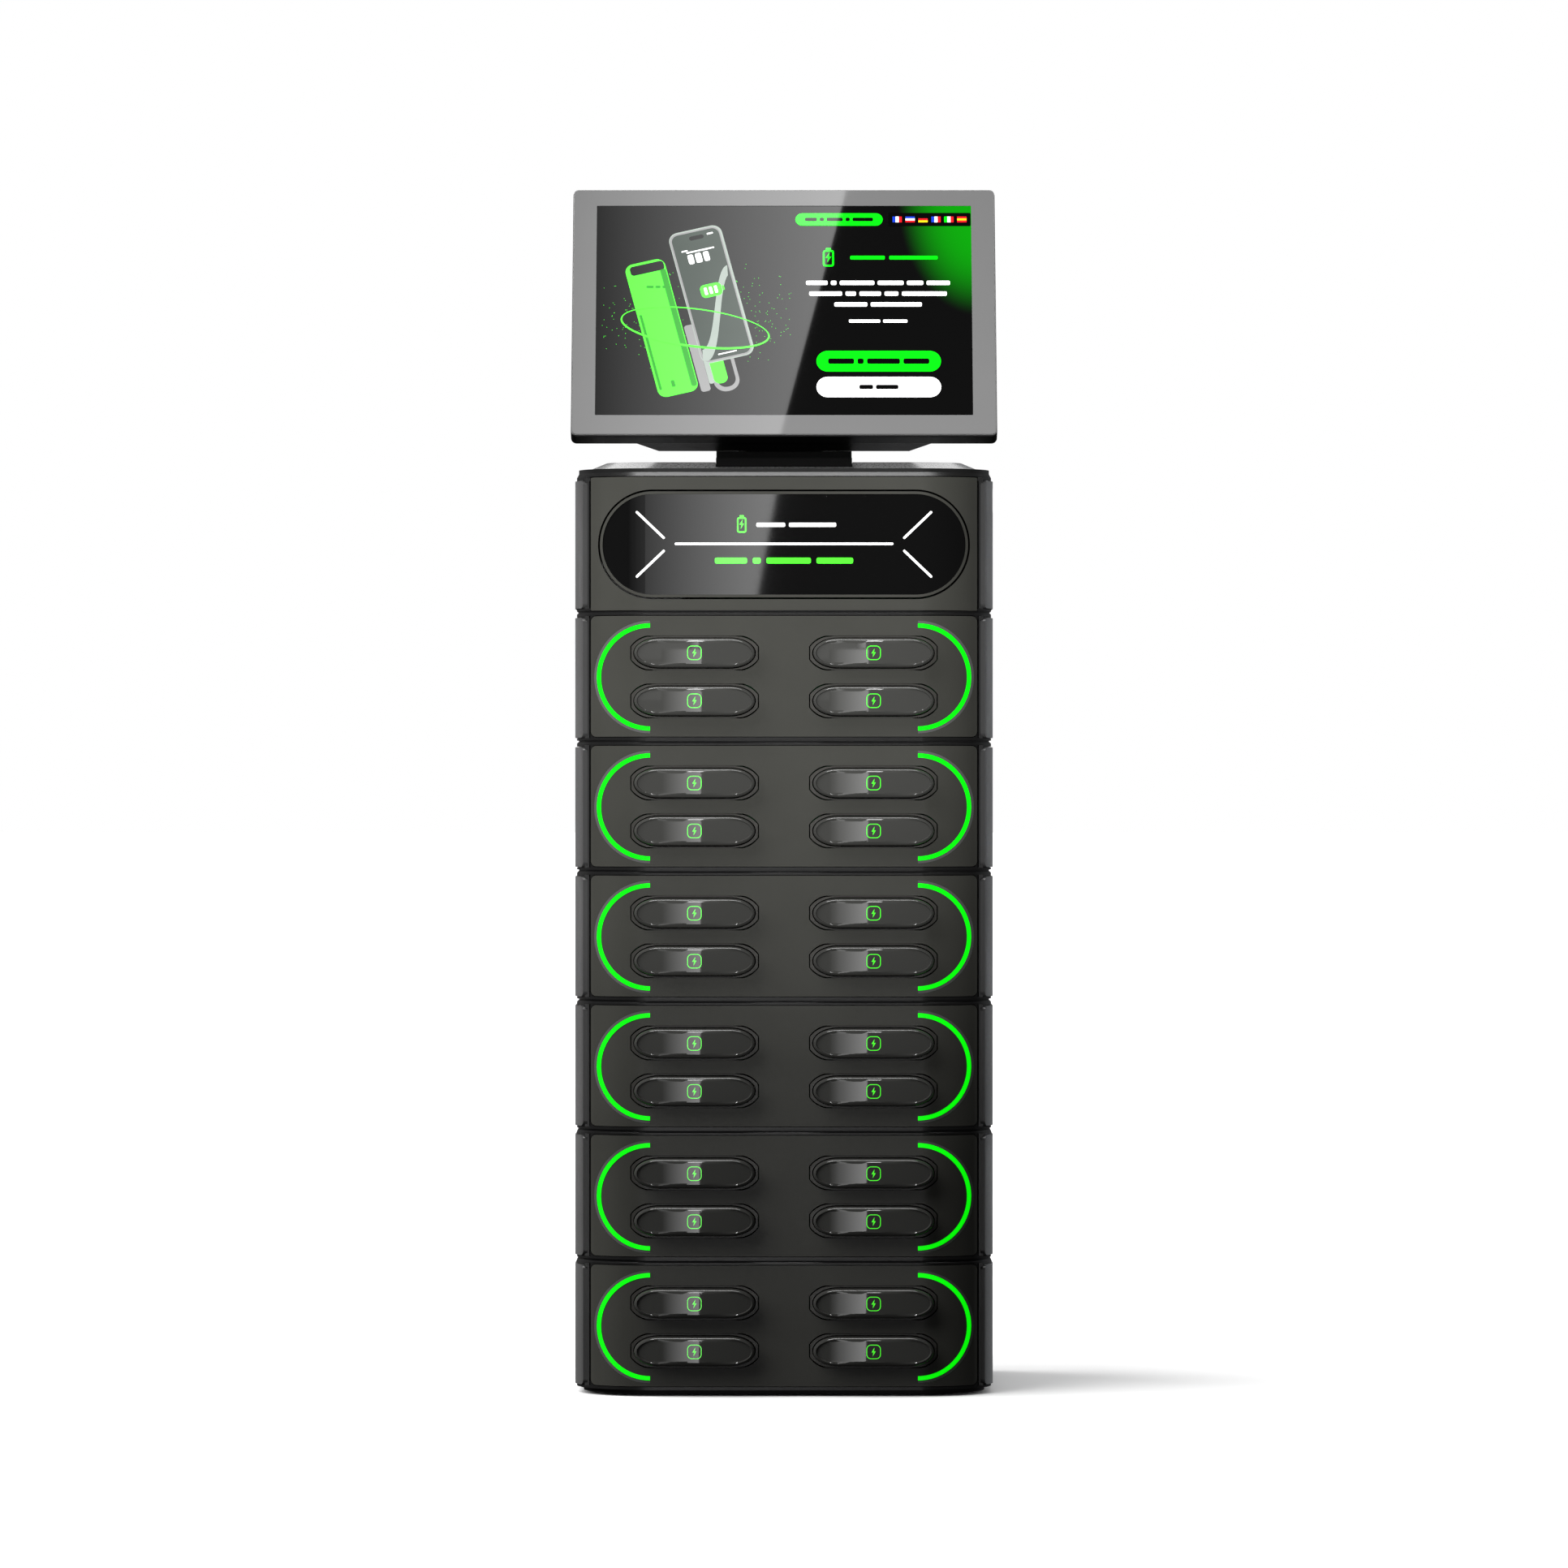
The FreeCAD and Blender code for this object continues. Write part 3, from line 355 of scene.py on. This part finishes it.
def bank_body_mesh():
    rear = BANK_L / MM
    loops = [bank_loop(0.5, CAP_L - 0.2), bank_loop(0.5, CAP_L + 0.7), bank_loop(0.05, CAP_L + 1.1),
             bank_loop(0.05, rear - 1.6), bank_loop(0.3, rear - 0.8), bank_loop(1.0, rear - 0.1)]
    return skin_loops(loops)


for node in sorted(n for n in frame["nodes"] if n.startswith("power_bank_")):
    tag = node.split("_")[-1]
    lo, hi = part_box(node)
    place = Vector(((lo.x + hi.x) / 2, lo.y, (lo.z + hi.z) / 2))
    cap_v, cap_f = bank_cap_mesh()
    cap = mesh_object(f"bank_cap_{tag}", [v + place for v in cap_v], cap_f, M["bank_cap"], node)
    body_v, body_f = bank_body_mesh()
    shell = mesh_object(f"bank_shell_{tag}", [v + place for v in body_v], body_f, M["bank_shell"], node)
    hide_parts(node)
    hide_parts(node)
    badge = Sheet(place, Vector((1, 0, 0)), Vector((0, 0, 1)), Vector((0, -1, 0)))
    badge.ring(rounded(0, 0, 8.2, 8.2, 2.6), rounded(0, 0, 7.4, 7.4, 2.2), -0.25, 0.0)
    badge.plate([(x * 7.6, y * 7.6) for x, y in BOLT], -0.25, 0.0)
    badge.done(f"bank_badge_{tag}", M["ui_lime"], node, "arc_green")
    pads = Sheet(place + Vector((0, BANK_L, 0)), Vector((1, 0, 0)), Vector((0, 0, 1)), Vector((0, 1, 0)))
    for x in (-6, -2, 2, 6):
        pads.plate(rounded(x, 0, 2.2, 5, 0.4, steps=3), -0.4, 0.0)
    pads.done(f"bank_contacts_{tag}", M["contact_gold"], node, "screw_steel")

# --- trims, and strips of painted shade in the corner grooves, that follow the cabinet's rounded front ---
FRONT_Y = front_lo.y * 1000
CORNER_X, CORNER_R = 79.5, 40.0     # centre and radius of each rounded front corner


def front_point(x, z, depth):
    """A point on the cabinet's front, rounded corners included, sunk in by depth; all in millimetres."""
    over = abs(x) - CORNER_X
    if over <= 0:
        return Vector((x, FRONT_Y + depth, z)) * MM
    r = CORNER_R - depth
    angle = math.asin(min(1.0, over / CORNER_R))
    side = 1 if x > 0 else -1
    return Vector((side * (CORNER_X + r * math.sin(angle)), FRONT_Y + CORNER_R - r * math.cos(angle), z)) * MM


def wrapped_strip(paths, low, high):
    """A thin strip between two paths of (x, z) points, laid on the front from depth low to depth high."""
    loops = []
    for i in range(len(paths[0])):
        a, b = paths[0][i], paths[1][i]
        corners = ((a, low), (b, low), (b, high), (a, high))
        loops.append([front_point(*at, depth) for at, depth in corners])
    return skin_loops(loops)


ARC_X, ARC_DZ = 76.7, 36.45
BAND_RADII, BAND_DEPTHS = (30.85, 32.3), (-0.03, 0.3)
# The corner strips are near-black sheets sunk in the corner grooves: painted shade that darkens the grooves.
GROOVE_SHADE_ANGLES, GROOVE_SHADE_DEPTHS = (52.6, 54.5, 56.5, 58.5, 60.4), (2.1, 2.55)
GROOVE_SHADE_FOOT, GROOVE_SHADE_TOP_GAP, HEAD_GROOVE_SHADE_TOP = 1.6, 2.6, 75.0
band_v, band_f, groove_shade_v, groove_shade_f = [], [], [], []


def gather(verts, faces, more):
    """Adds the vertices and faces of one more strip to a growing mesh."""
    base = len(verts)
    verts += more[0]
    faces += [tuple(i + base for i in f) for f in more[1]]


for level in range(LEVELS):
    z0 = BASE_H + level * PITCH
    for side in (-1, 1):
        turns = [math.radians(-90 + 180 * i / 40) for i in range(41)]
        ring = [[(side * (ARC_X + r * math.cos(t)), z0 + ARC_DZ + r * math.sin(t)) for t in turns]
                for r in BAND_RADII]
        gather(band_v, band_f, wrapped_strip(ring, *BAND_DEPTHS))
for level in range(LEVELS + 1):
    z0 = BASE_H + level * PITCH
    top = z0 + (HEAD_GROOVE_SHADE_TOP if level == LEVELS else PITCH - GROOVE_SHADE_TOP_GAP)
    for side in (-1, 1):
        xs = [side * (CORNER_X + CORNER_R * math.sin(math.radians(a))) for a in GROOVE_SHADE_ANGLES]
        edges = [[(x, z0 + GROOVE_SHADE_FOOT) for x in xs], [(x, top) for x in xs]]
        gather(groove_shade_v, groove_shade_f, wrapped_strip(edges, *GROOVE_SHADE_DEPTHS))
mesh_object("arc_recess_bands", band_v, band_f, M["band_grey"], "cabinet")
# The near-black corner strips are painted shade in the grooves.
mesh_object("corner_groove_shade", groove_shade_v, groove_shade_f, M["groove_shade_black"], "cabinet")

# --- sign face ------------------------------------------------------------------------------------
sign_mid = Vector((0, sign_lo.y, (sign_lo.z + sign_hi.z) / 2))
axes = (Vector((1, 0, 0)), Vector((0, 0, 1)), Vector((0, -1, 0)))
marks = Sheet(sign_mid, *axes)
SIGN_LOW, SIGN_TOP = -0.1, 0.12     # the marks are let into the sign and stand just proud of it
battery(marks, -24.2, 11.6, 10.4, SIGN_LOW, SIGN_TOP)
words(marks, 0.0, -9.3, [18.5, 4.6, 25.5, 21.0], 3.4, 3.2, SIGN_LOW, SIGN_TOP)
marks.done("sign_marks_green", M["ui_lime"], "cabinet", "arc_green")
marks = Sheet(sign_mid, *axes)
words(marks, 7.0, 11.2, [16.5, 27.0], 2.4, 2.2, SIGN_LOW, SIGN_TOP)
marks.done("sign_marks_white", M["sign_white"], "cabinet", "sign_white")

# --- display face ---------------------------------------------------------------------------------
mid = FOOT + UP * ACTIVE_V
W, H = 244.0, 158.6                 # the glass, a little inside its CAD outline
AW, AH = ACTIVE_W / MM, ACTIVE_H / MM
shift = (SCREEN_H / 2 - ACTIVE_V) / MM   # from the picture's centre to the glass's centre


def screen_sheet():
    """A sheet on the display's face, centred on the lit picture."""
    return Sheet(mid, Vector((1, 0, 0)), UP, OUT)


border = screen_sheet()
border.ring(rounded(0, shift, W - 0.9, H - 0.9, 2.5), rounded(0, 0, AW, AH, 0.5), -1.9, -0.02)
border_obj = border.done("screen_border", M["border_silver"], "display", "screen_glass")
rim = screen_sheet()
rim.ring(rounded(0, shift, W, H, 2.9), rounded(0, shift, W - 0.8, H - 0.8, 2.5), -2.0, -0.35)
rim_obj = rim.done("screen_rim", M["border_rim"], "display", "display_black")
picture = screen_sheet()
picture.plate(rounded(0, 0, AW + 0.05, AH + 0.05, 0.5), -1.9, -0.40)


def picture_material():
    """Screen background: near black with a soft green glow in its upper right corner."""
    m, tree, bsdf = material("screen_background")
    new, link = tree.nodes.new, tree.links.new
    pos = new("ShaderNodeTexCoord")
    split = new("ShaderNodeSeparateXYZ")
    link(pos.outputs["Object"], split.inputs["Vector"])

    def glow(x, z, reach_x, reach_z, power):
        """A soft oval of light about (x, z), in metres, that fades to nothing at its reach."""
        parts = []
        for axis, at, reach in (("X", x, reach_x), ("Z", z, reach_z)):
            d = new("ShaderNodeMath")
            d.operation = "SUBTRACT"
            d.inputs[1].default_value = at
            link(split.outputs[axis], d.inputs[0])
            s = new("ShaderNodeMath")
            s.operation = "DIVIDE"
            s.inputs[1].default_value = reach
            link(d.outputs[0], s.inputs[0])
            q = new("ShaderNodeMath")
            q.operation = "POWER"
            q.inputs[1].default_value = 2
            link(s.outputs[0], q.inputs[0])
            parts.append(q)
        total = new("ShaderNodeMath")
        total.operation = "ADD"
        for i, q in enumerate(parts):
            link(q.outputs[0], total.inputs[i])
        fall = new("ShaderNodeMapRange")
        fall.interpolation_type = "SMOOTHSTEP"
        fall.inputs["From Min"].default_value = 0
        fall.inputs["From Max"].default_value = 1
        fall.inputs["To Min"].default_value = power
        fall.inputs["To Max"].default_value = 0
        link(total.outputs[0], fall.inputs["Value"])
        return fall

    top = FOOT + UP * (ACTIVE_V + ACTIVE_H / 2)
    corner = glow(ACTIVE_W / 2 + 0.004, top.z + 0.004, 0.047, 0.070, 0.42)
    noise = new("ShaderNodeTexNoise")
    noise.inputs["Scale"].default_value = 9
    link(pos.outputs["Object"], noise.inputs["Vector"])
    times = new("ShaderNodeMath")
    times.operation = "MULTIPLY"
    link(corner.outputs["Result"], times.inputs[0])
    wob = new("ShaderNodeMapRange")
    wob.inputs["To Min"].default_value = 0.8
    wob.inputs["To Max"].default_value = 1.2
    link(noise.outputs["Fac"], wob.inputs["Value"])
    link(wob.outputs["Result"], times.inputs[1])
    mix = new("ShaderNodeMix")
    mix.data_type = "RGBA"
    mix.inputs["A"].default_value = (0.0, 0.0, 0.0, 1)
    mix.inputs["B"].default_value = (0.0, 1.0, 0.0, 1)
    link(times.outputs[0], mix.inputs["Factor"])
    link(mix.outputs["Result"], bsdf.inputs["Emission Color"])
    bsdf.inputs["Emission Strength"].default_value = 1.0
    bsdf.inputs["Base Color"].default_value = (0.003, 0.003, 0.003, 1)
    bsdf.inputs["Roughness"].default_value = 0.015
    return m


M["screen_background"] = picture_material()
picture_obj = picture.done("screen_picture", M["screen_background"], "display", "lcd_black")
for piece in (border_obj, rim_obj, picture_obj):
    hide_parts("touch_glass")

green, white, dark, grey, lime = [screen_sheet() for _ in range(5)]
LOW, TOP = -0.38, -0.16      # heights of the marks between the picture and the glass's face
INK = TOP + 0.03             # top of the dark words laid on a button
green.plate(rounded(31.9, 58.9, 50.5, 8.0, 4.0), LOW, TOP)
words(dark, 31.9, 58.9, [7, 2.5, 9.5, 2.5, 12], 2.4, 1.5, TOP, INK)
dark.plate(rounded(84.2, 58.9, 48.0, 8.6, 0.8), LOW, TOP)
battery(green, 25.7, 34.2, 12.4, LOW, TOP)
words(green, 63.6, 34.0, [20, 28], 2.3, 2.6, LOW, TOP)
words(white, 54.3, 17.6, [12.5, 3.2, 20, 15, 9.5, 13.5], 2.7, 1.9, LOW, TOP)
words(white, 54.3, 10.6, [19, 6, 12.5, 8, 26], 2.7, 2.0, LOW, TOP)
words(white, 54.3, 3.6, [19, 29.5], 2.7, 2.0, LOW, TOP)
words(white, 54.3, -7.2, [18, 14], 1.9, 1.7, LOW, TOP)
green.plate(rounded(54.5, -33.1, 71.6, 13.2, 6.6, steps=10), LOW, TOP)
words(dark, 54.5, -33.1, [15, 3.6, 19, 15], 3.6, 1.9, TOP, INK)
white.plate(rounded(54.5, -49.7, 71.6, 13.0, 6.5, steps=10), LOW, TOP)
words(dark, 54.5, -49.7, [8, 13], 2.8, 1.5, TOP, INK)

TURN = 14.0
COS, SIN = math.cos(math.radians(TURN)), math.sin(math.radians(TURN))


def tilted(cx, cy, points):
    """Points of a drawing that leans with the phone."""
    return [(cx + x * COS - y * SIN, cy + x * SIN + y * COS) for x, y in points]


def put(sheet, cx, cy, dx, dy, w, h, r, layer):
    """A rounded rectangle placed on the leaning drawing, on a given layer above the background."""
    (x, y), = tilted(cx, cy, [(dx, dy)])
    sheet.plate(rounded(x, y, w, h, r, TURN, steps=8), LOW, LOW + 0.02 * (layer + 1))


shade, glass_dark, glass_pale = screen_sheet(), screen_sheet(), screen_sheet()
BX, BY = -70.6, -11.5        # the pictured power bank
put(lime, BX, BY, 0, 0, 23.5, 88.0, 5.0, 1)
put(shade, BX, BY, 9.6, -2, 3.4, 78.0, 1.4, 2)
put(shade, BX, BY, -9.8, -14, 1.6, 50.0, 0.8, 2)
put(dark, BX, BY, 1.0, 39.5, 20.0, 6.0, 2.0, 2)
words(shade, -72.5, 15.0, [4.2, 3.0, 4.8], 1.6, 1.0, LOW + 0.06, LOW + 0.08)
put(shade, BX, BY, -2.0, -36.5, 2.2, 4.4, 0.8, 2)
put(grey, BX, BY, 15.4, -24, 5.6, 44.0, 1.6, 1)
put(glass_pale, BX, BY, 19.8, -22, 3.0, 40.0, 1.2, 1)
put(lime, BX, BY, 25.4, -31, 8.0, 24.0, 3.6, 1)
outer = rounded(-34.6, -39.0, 15.0, 27.0, 7.0, TURN, steps=8)
grey.ring(outer, rounded(-34.6, -38.2, 10.6, 23.0, 5.0, TURN, steps=8), LOW, LOW + 0.03)
PX, PY = -42.0, 10.4         # the pictured phone
put(glass_pale, PX, PY, 0, 0, 31.4, 86.8, 5.6, 3)
put(grey, PX, PY, -0.4, 0, 29.8, 85.2, 5.0, 4)
put(glass_dark, PX, PY, -0.2, 0, 28.0, 83.2, 4.2, 5)
put(dark, PX, PY, 0.4, 37.8, 8.6, 2.6, 1.3, 6)
put(white, PX, PY, -8.4, 30.6, 3.6, 0.9, 0.4, 6)
put(white, PX, PY, 8.6, 38.6, 3.6, 1.0, 0.4, 6)
# The curve of light across the phone's glass.
sweep = []
for k in range(25):
    t = k / 24
    sweep.append((-13.6 + 27.0 * t, -34 + 50 * t * t * (3 - 2 * t)))
glass_pale.plate(tilted(PX, PY, sweep + [(x - 1.2, y - 6.5 - 8 * math.sin(math.pi * (x + 13.6) / 27))
                                         for x, y in reversed(sweep)]), LOW, LOW + 0.14)
for k, w in enumerate((3.2, 3.6, 3.2)):
    put(white, PX, PY, -6.0 + 4.6 * k, 24.6, w, 6.2, 1.0, 7)
put(white, PX, PY, 0.6, 33.8 - 4.6, 16.5, 0.9, 0.4, 7)
put(lime, PX, PY, 0.6, 2.4, 12.4, 8.4, 2.6, 7)
put(lime, PX, PY, 7.7, 2.4, 1.2, 3.0, 0.5, 7)
for k in (-1, 0, 1):
    put(white, PX, PY, 0.4 + 3.0 * k, 2.4, 1.7, 4.6, 0.4, 8)
put(white, PX, PY, 0, -39.0, 11.0, 0.7, 0.3, 6)
lime.ring(oval(-51.2, -11.6, 43.4, 12.6, -8), oval(-51.2, -11.3, 42.5, 11.6, -8), LOW + 0.18, LOW + 0.20)

# Fine particles scattered round the phone by a small fixed generator.
seed = 7
for _ in range(260):
    seed = (seed * 1103515245 + 12345) % 2147483648
    a = seed / 2147483648 * 2 * math.pi
    seed = (seed * 1103515245 + 12345) % 2147483648
    r = 0.75 + 0.55 * seed / 2147483648
    seed = (seed * 1103515245 + 12345) % 2147483648
    x, y = -51 + 43 * r * math.cos(a), -4 + 18 * r * math.sin(a) + 34 * (seed / 2147483648 - 0.5)
    lime.plate(rounded(x, y, 0.32, 0.32, 0.1, steps=1), LOW, LOW + 0.02)

chips = {"red": screen_sheet(), "blue": screen_sheet(), "yellow": screen_sheet()}
# Six generic striped chips: three colours each, and whether the stripes lie level.
STRIPES = [("blue", "white", "red", 0), ("blue", "white", "red", 1), ("dark", "red", "yellow", 1),
           ("blue", "white", "red", 0), ("green", "white", "red", 0), ("red", "yellow", "red", 1)]
CHIP_U, CHIP_V, CHIP_STEP = 65.6, 58.9, 7.5
sheets = {"white": white, "dark": dark, "green": green, **chips}
for i, (a, b, c, level) in enumerate(STRIPES):
    u = CHIP_U + CHIP_STEP * i
    for j, colour in enumerate((a, b, c)):
        if level:
            outline = rounded(u, CHIP_V + 1.25 * (1 - j), 5.4, 1.25, 0.01, steps=1)
        else:
            outline = rounded(u + 1.8 * (j - 1), CHIP_V, 1.8, 3.75, 0.01, steps=1)
        sheets[colour].plate(outline, TOP, TOP + 0.02)

sheets.update(shade=shade, glass_dark=glass_dark, glass_pale=glass_pale, grey=grey, lime=lime)
for name in SCREEN_MARKS:
    sheets[name].done(f"screen_marks_{name}", M[f"ui_{name}"], "display", "lcd_black")

# --- stage: floor, light, reflection cards --------------------------------------------------------
floor_data = bpy.data.meshes.new("floor")
floor_data.from_pydata([(-40, -12, 0), (40, -12, 0), (40, 60, 0), (-40, 60, 0)], [], [(0, 1, 2, 3)])
floor = bpy.data.objects.new("floor", floor_data)
bpy.context.scene.collection.objects.link(floor)
floor_data.materials.append(finish("floor_white", (0.93, 0.93, 0.93, 1), 0.9, vary=0.01, bump=0.0))


def card(name, origin, right, up, outline, colour, near, far):
    """A glowing card seen in reflections only: near is its brightness on the right, far on the left."""
    right, up = Vector(right), Vector(up)
    verts = [Vector(origin) + right * u + up * v for u, v in outline]
    data = bpy.data.meshes.new(name)
    data.from_pydata([tuple(v) for v in verts], [], [tuple(range(len(verts)))])
    obj = bpy.data.objects.new(name, data)
    bpy.context.scene.collection.objects.link(obj)
    m = bpy.data.materials.new(name)
    m.use_nodes = True
    tree = m.node_tree
    tree.nodes.clear()
    out = tree.nodes.new("ShaderNodeOutputMaterial")
    emit = tree.nodes.new("ShaderNodeEmission")
    emit.inputs["Color"].default_value = colour
    pos = tree.nodes.new("ShaderNodeTexCoord")
    split = tree.nodes.new("ShaderNodeSeparateXYZ")
    tree.links.new(pos.outputs["Object"], split.inputs["Vector"])
    xs = [v.x for v in verts]
    fade = tree.nodes.new("ShaderNodeMapRange")
    fade.inputs["From Min"].default_value = min(xs)
    fade.inputs["From Max"].default_value = max(xs)
    fade.inputs["To Min"].default_value = far
    fade.inputs["To Max"].default_value = near
    tree.links.new(split.outputs["X"], fade.inputs["Value"])
    tree.links.new(fade.outputs["Result"], emit.inputs["Strength"])
    tree.links.new(emit.outputs["Emission"], out.inputs["Surface"])
    data.materials.append(m)
    obj.visible_camera = False
    obj.visible_shadow = False
    obj.visible_diffuse = False
    return obj


WHITE = (1, 1, 1, 1)
SLOPE = ((1, 0, 0), (0, 0.78, 0.626))
card("card_screen", (0, -1.45, 2.34), *SLOPE, [(-0.19, -0.16), (-0.019, -0.16), (0.067, 0.16), (-0.19, 0.16)],
     WHITE, 5.4, 0.0)
card("card_rim", (0, -1.45, 2.34), *SLOPE, [(-0.7, 0.22), (0.7, 0.22), (0.7, 0.75), (-0.7, 0.75)],
     WHITE, 9.0, 20.0)
UPRIGHT = ((1, 0, 0), (0, 0, 1))
card("card_sign", (0, -4.6, 0), *UPRIGHT, [(-0.19, 0.53), (-0.035, 0.53), (-0.002, 0.71), (-0.19, 0.71)],
     WHITE, 5.2, 0.0)
card("card_corner", (0, -4.6, 0), *UPRIGHT, [(-2.6, 0.45), (-0.19, 0.45), (-0.19, 0.9), (-2.6, 0.9)],
     WHITE, 0.5, 0.0)
card("card_banks", (0, -4.5, 0), *UPRIGHT, [(-0.62, -0.75), (-0.05, -0.75), (0.02, 0.52), (-0.62, 0.52)],
     WHITE, 4.6, 0.0)
card("card_lid", (0, 1.9, 2.3), (-1, 0, 0), (0, -0.7, 0.7), [(-1, -0.7), (1, -0.7), (1, 0.7), (-1, 0.7)],
     WHITE, 2.2, 2.6)


# The side lights leave the floor alone, and the floor has a fill light of its own.
only_floor = bpy.data.collections.new("only_floor")
only_floor.objects.link(floor)
bare_floor = bpy.data.collections.new("bare_floor")
bare_floor.objects.link(floor)
bare_floor.collection_objects[0].light_linking.link_state = "EXCLUDE"


def area(name, where, aim, size_x, size_y, power, colour=(1, 1, 1)):
    """A soft light that isn't itself mirrored: the cards above are what reflections show."""
    data = bpy.data.lights.new(name, "AREA")
    data.shape = "RECTANGLE"
    data.size, data.size_y = size_x, size_y
    data.energy = power
    data.color = colour
    obj = bpy.data.objects.new(name, data)
    obj.location = where
    obj.rotation_euler = (Vector(aim) - Vector(where)).to_track_quat("-Z", "Y").to_euler()
    obj.visible_glossy = False
    obj.light_linking.receiver_collection = bare_floor
    bpy.context.scene.collection.objects.link(obj)
    return obj


area("light_left", (-1.2, 1.3, 0.7), (0, 0.0, 0.35), 0.4, 1.4, 210)
area("light_right", (1.2, 1.3, 0.7), (0, 0.0, 0.35), 0.4, 1.4, 230, (0.94, 0.97, 1.0))


def place_light(name, data, direction, where=(0, 0, 0)):
    """Puts a lamp at a place, shining along a direction."""
    obj = bpy.data.objects.new(name, data)
    obj.location = where
    obj.rotation_euler = Vector(direction).to_track_quat("-Z", "Y").to_euler()
    bpy.context.scene.collection.objects.link(obj)
    return obj


def sun(name, energy, spread, direction):
    """A sun lamp whose disc is spread degrees wide."""
    data = bpy.data.lights.new(name, "SUN")
    data.energy = energy
    data.angle = math.radians(spread)
    return place_light(name, data, direction)


BEAM_AT, BEAM_AIM = Vector((0.0, -3.2, 0.68)), Vector((0, -0.1, 0.54))
beam_data = bpy.data.lights.new("light_beam", "SPOT")
beam_data.energy = 455
beam_data.spot_size = math.radians(15)
beam_data.spot_blend = 1.0
beam_data.shadow_soft_size = 0.09
place_light("light_beam", beam_data, BEAM_AIM - BEAM_AT, BEAM_AT).visible_glossy = False
sun("light_sky", 4.3, 70, (0.90, 0.27, -1.0)).visible_glossy = False
sun("light_floor", 2.1, 180, (0, 0, -1)).light_linking.receiver_collection = only_floor
floor.visible_glossy = False
floor.visible_diffuse = False

world = bpy.data.worlds.new("world")
world.use_nodes = True
bpy.context.scene.world = world
wt = world.node_tree
wt.nodes.clear()
w_out = wt.nodes.new("ShaderNodeOutputWorld")
w_path = wt.nodes.new("ShaderNodeLightPath")
DIFFUSE_SKY, MIRRORED_SKY, BACKDROP = 0.07, 0.02, 1.0


def sky(strength):
    """One even white background."""
    background = wt.nodes.new("ShaderNodeBackground")
    background.inputs["Color"].default_value = WHITE
    background.inputs["Strength"].default_value = strength
    return background


last = sky(DIFFUSE_SKY)
for ray, strength in (("Is Glossy Ray", MIRRORED_SKY), ("Is Camera Ray", BACKDROP)):
    choose = wt.nodes.new("ShaderNodeMixShader")
    wt.links.new(w_path.outputs[ray], choose.inputs["Fac"])
    wt.links.new(last.outputs[0], choose.inputs[1])
    wt.links.new(sky(strength).outputs[0], choose.inputs[2])
    last = choose
wt.links.new(last.outputs[0], w_out.inputs["Surface"])
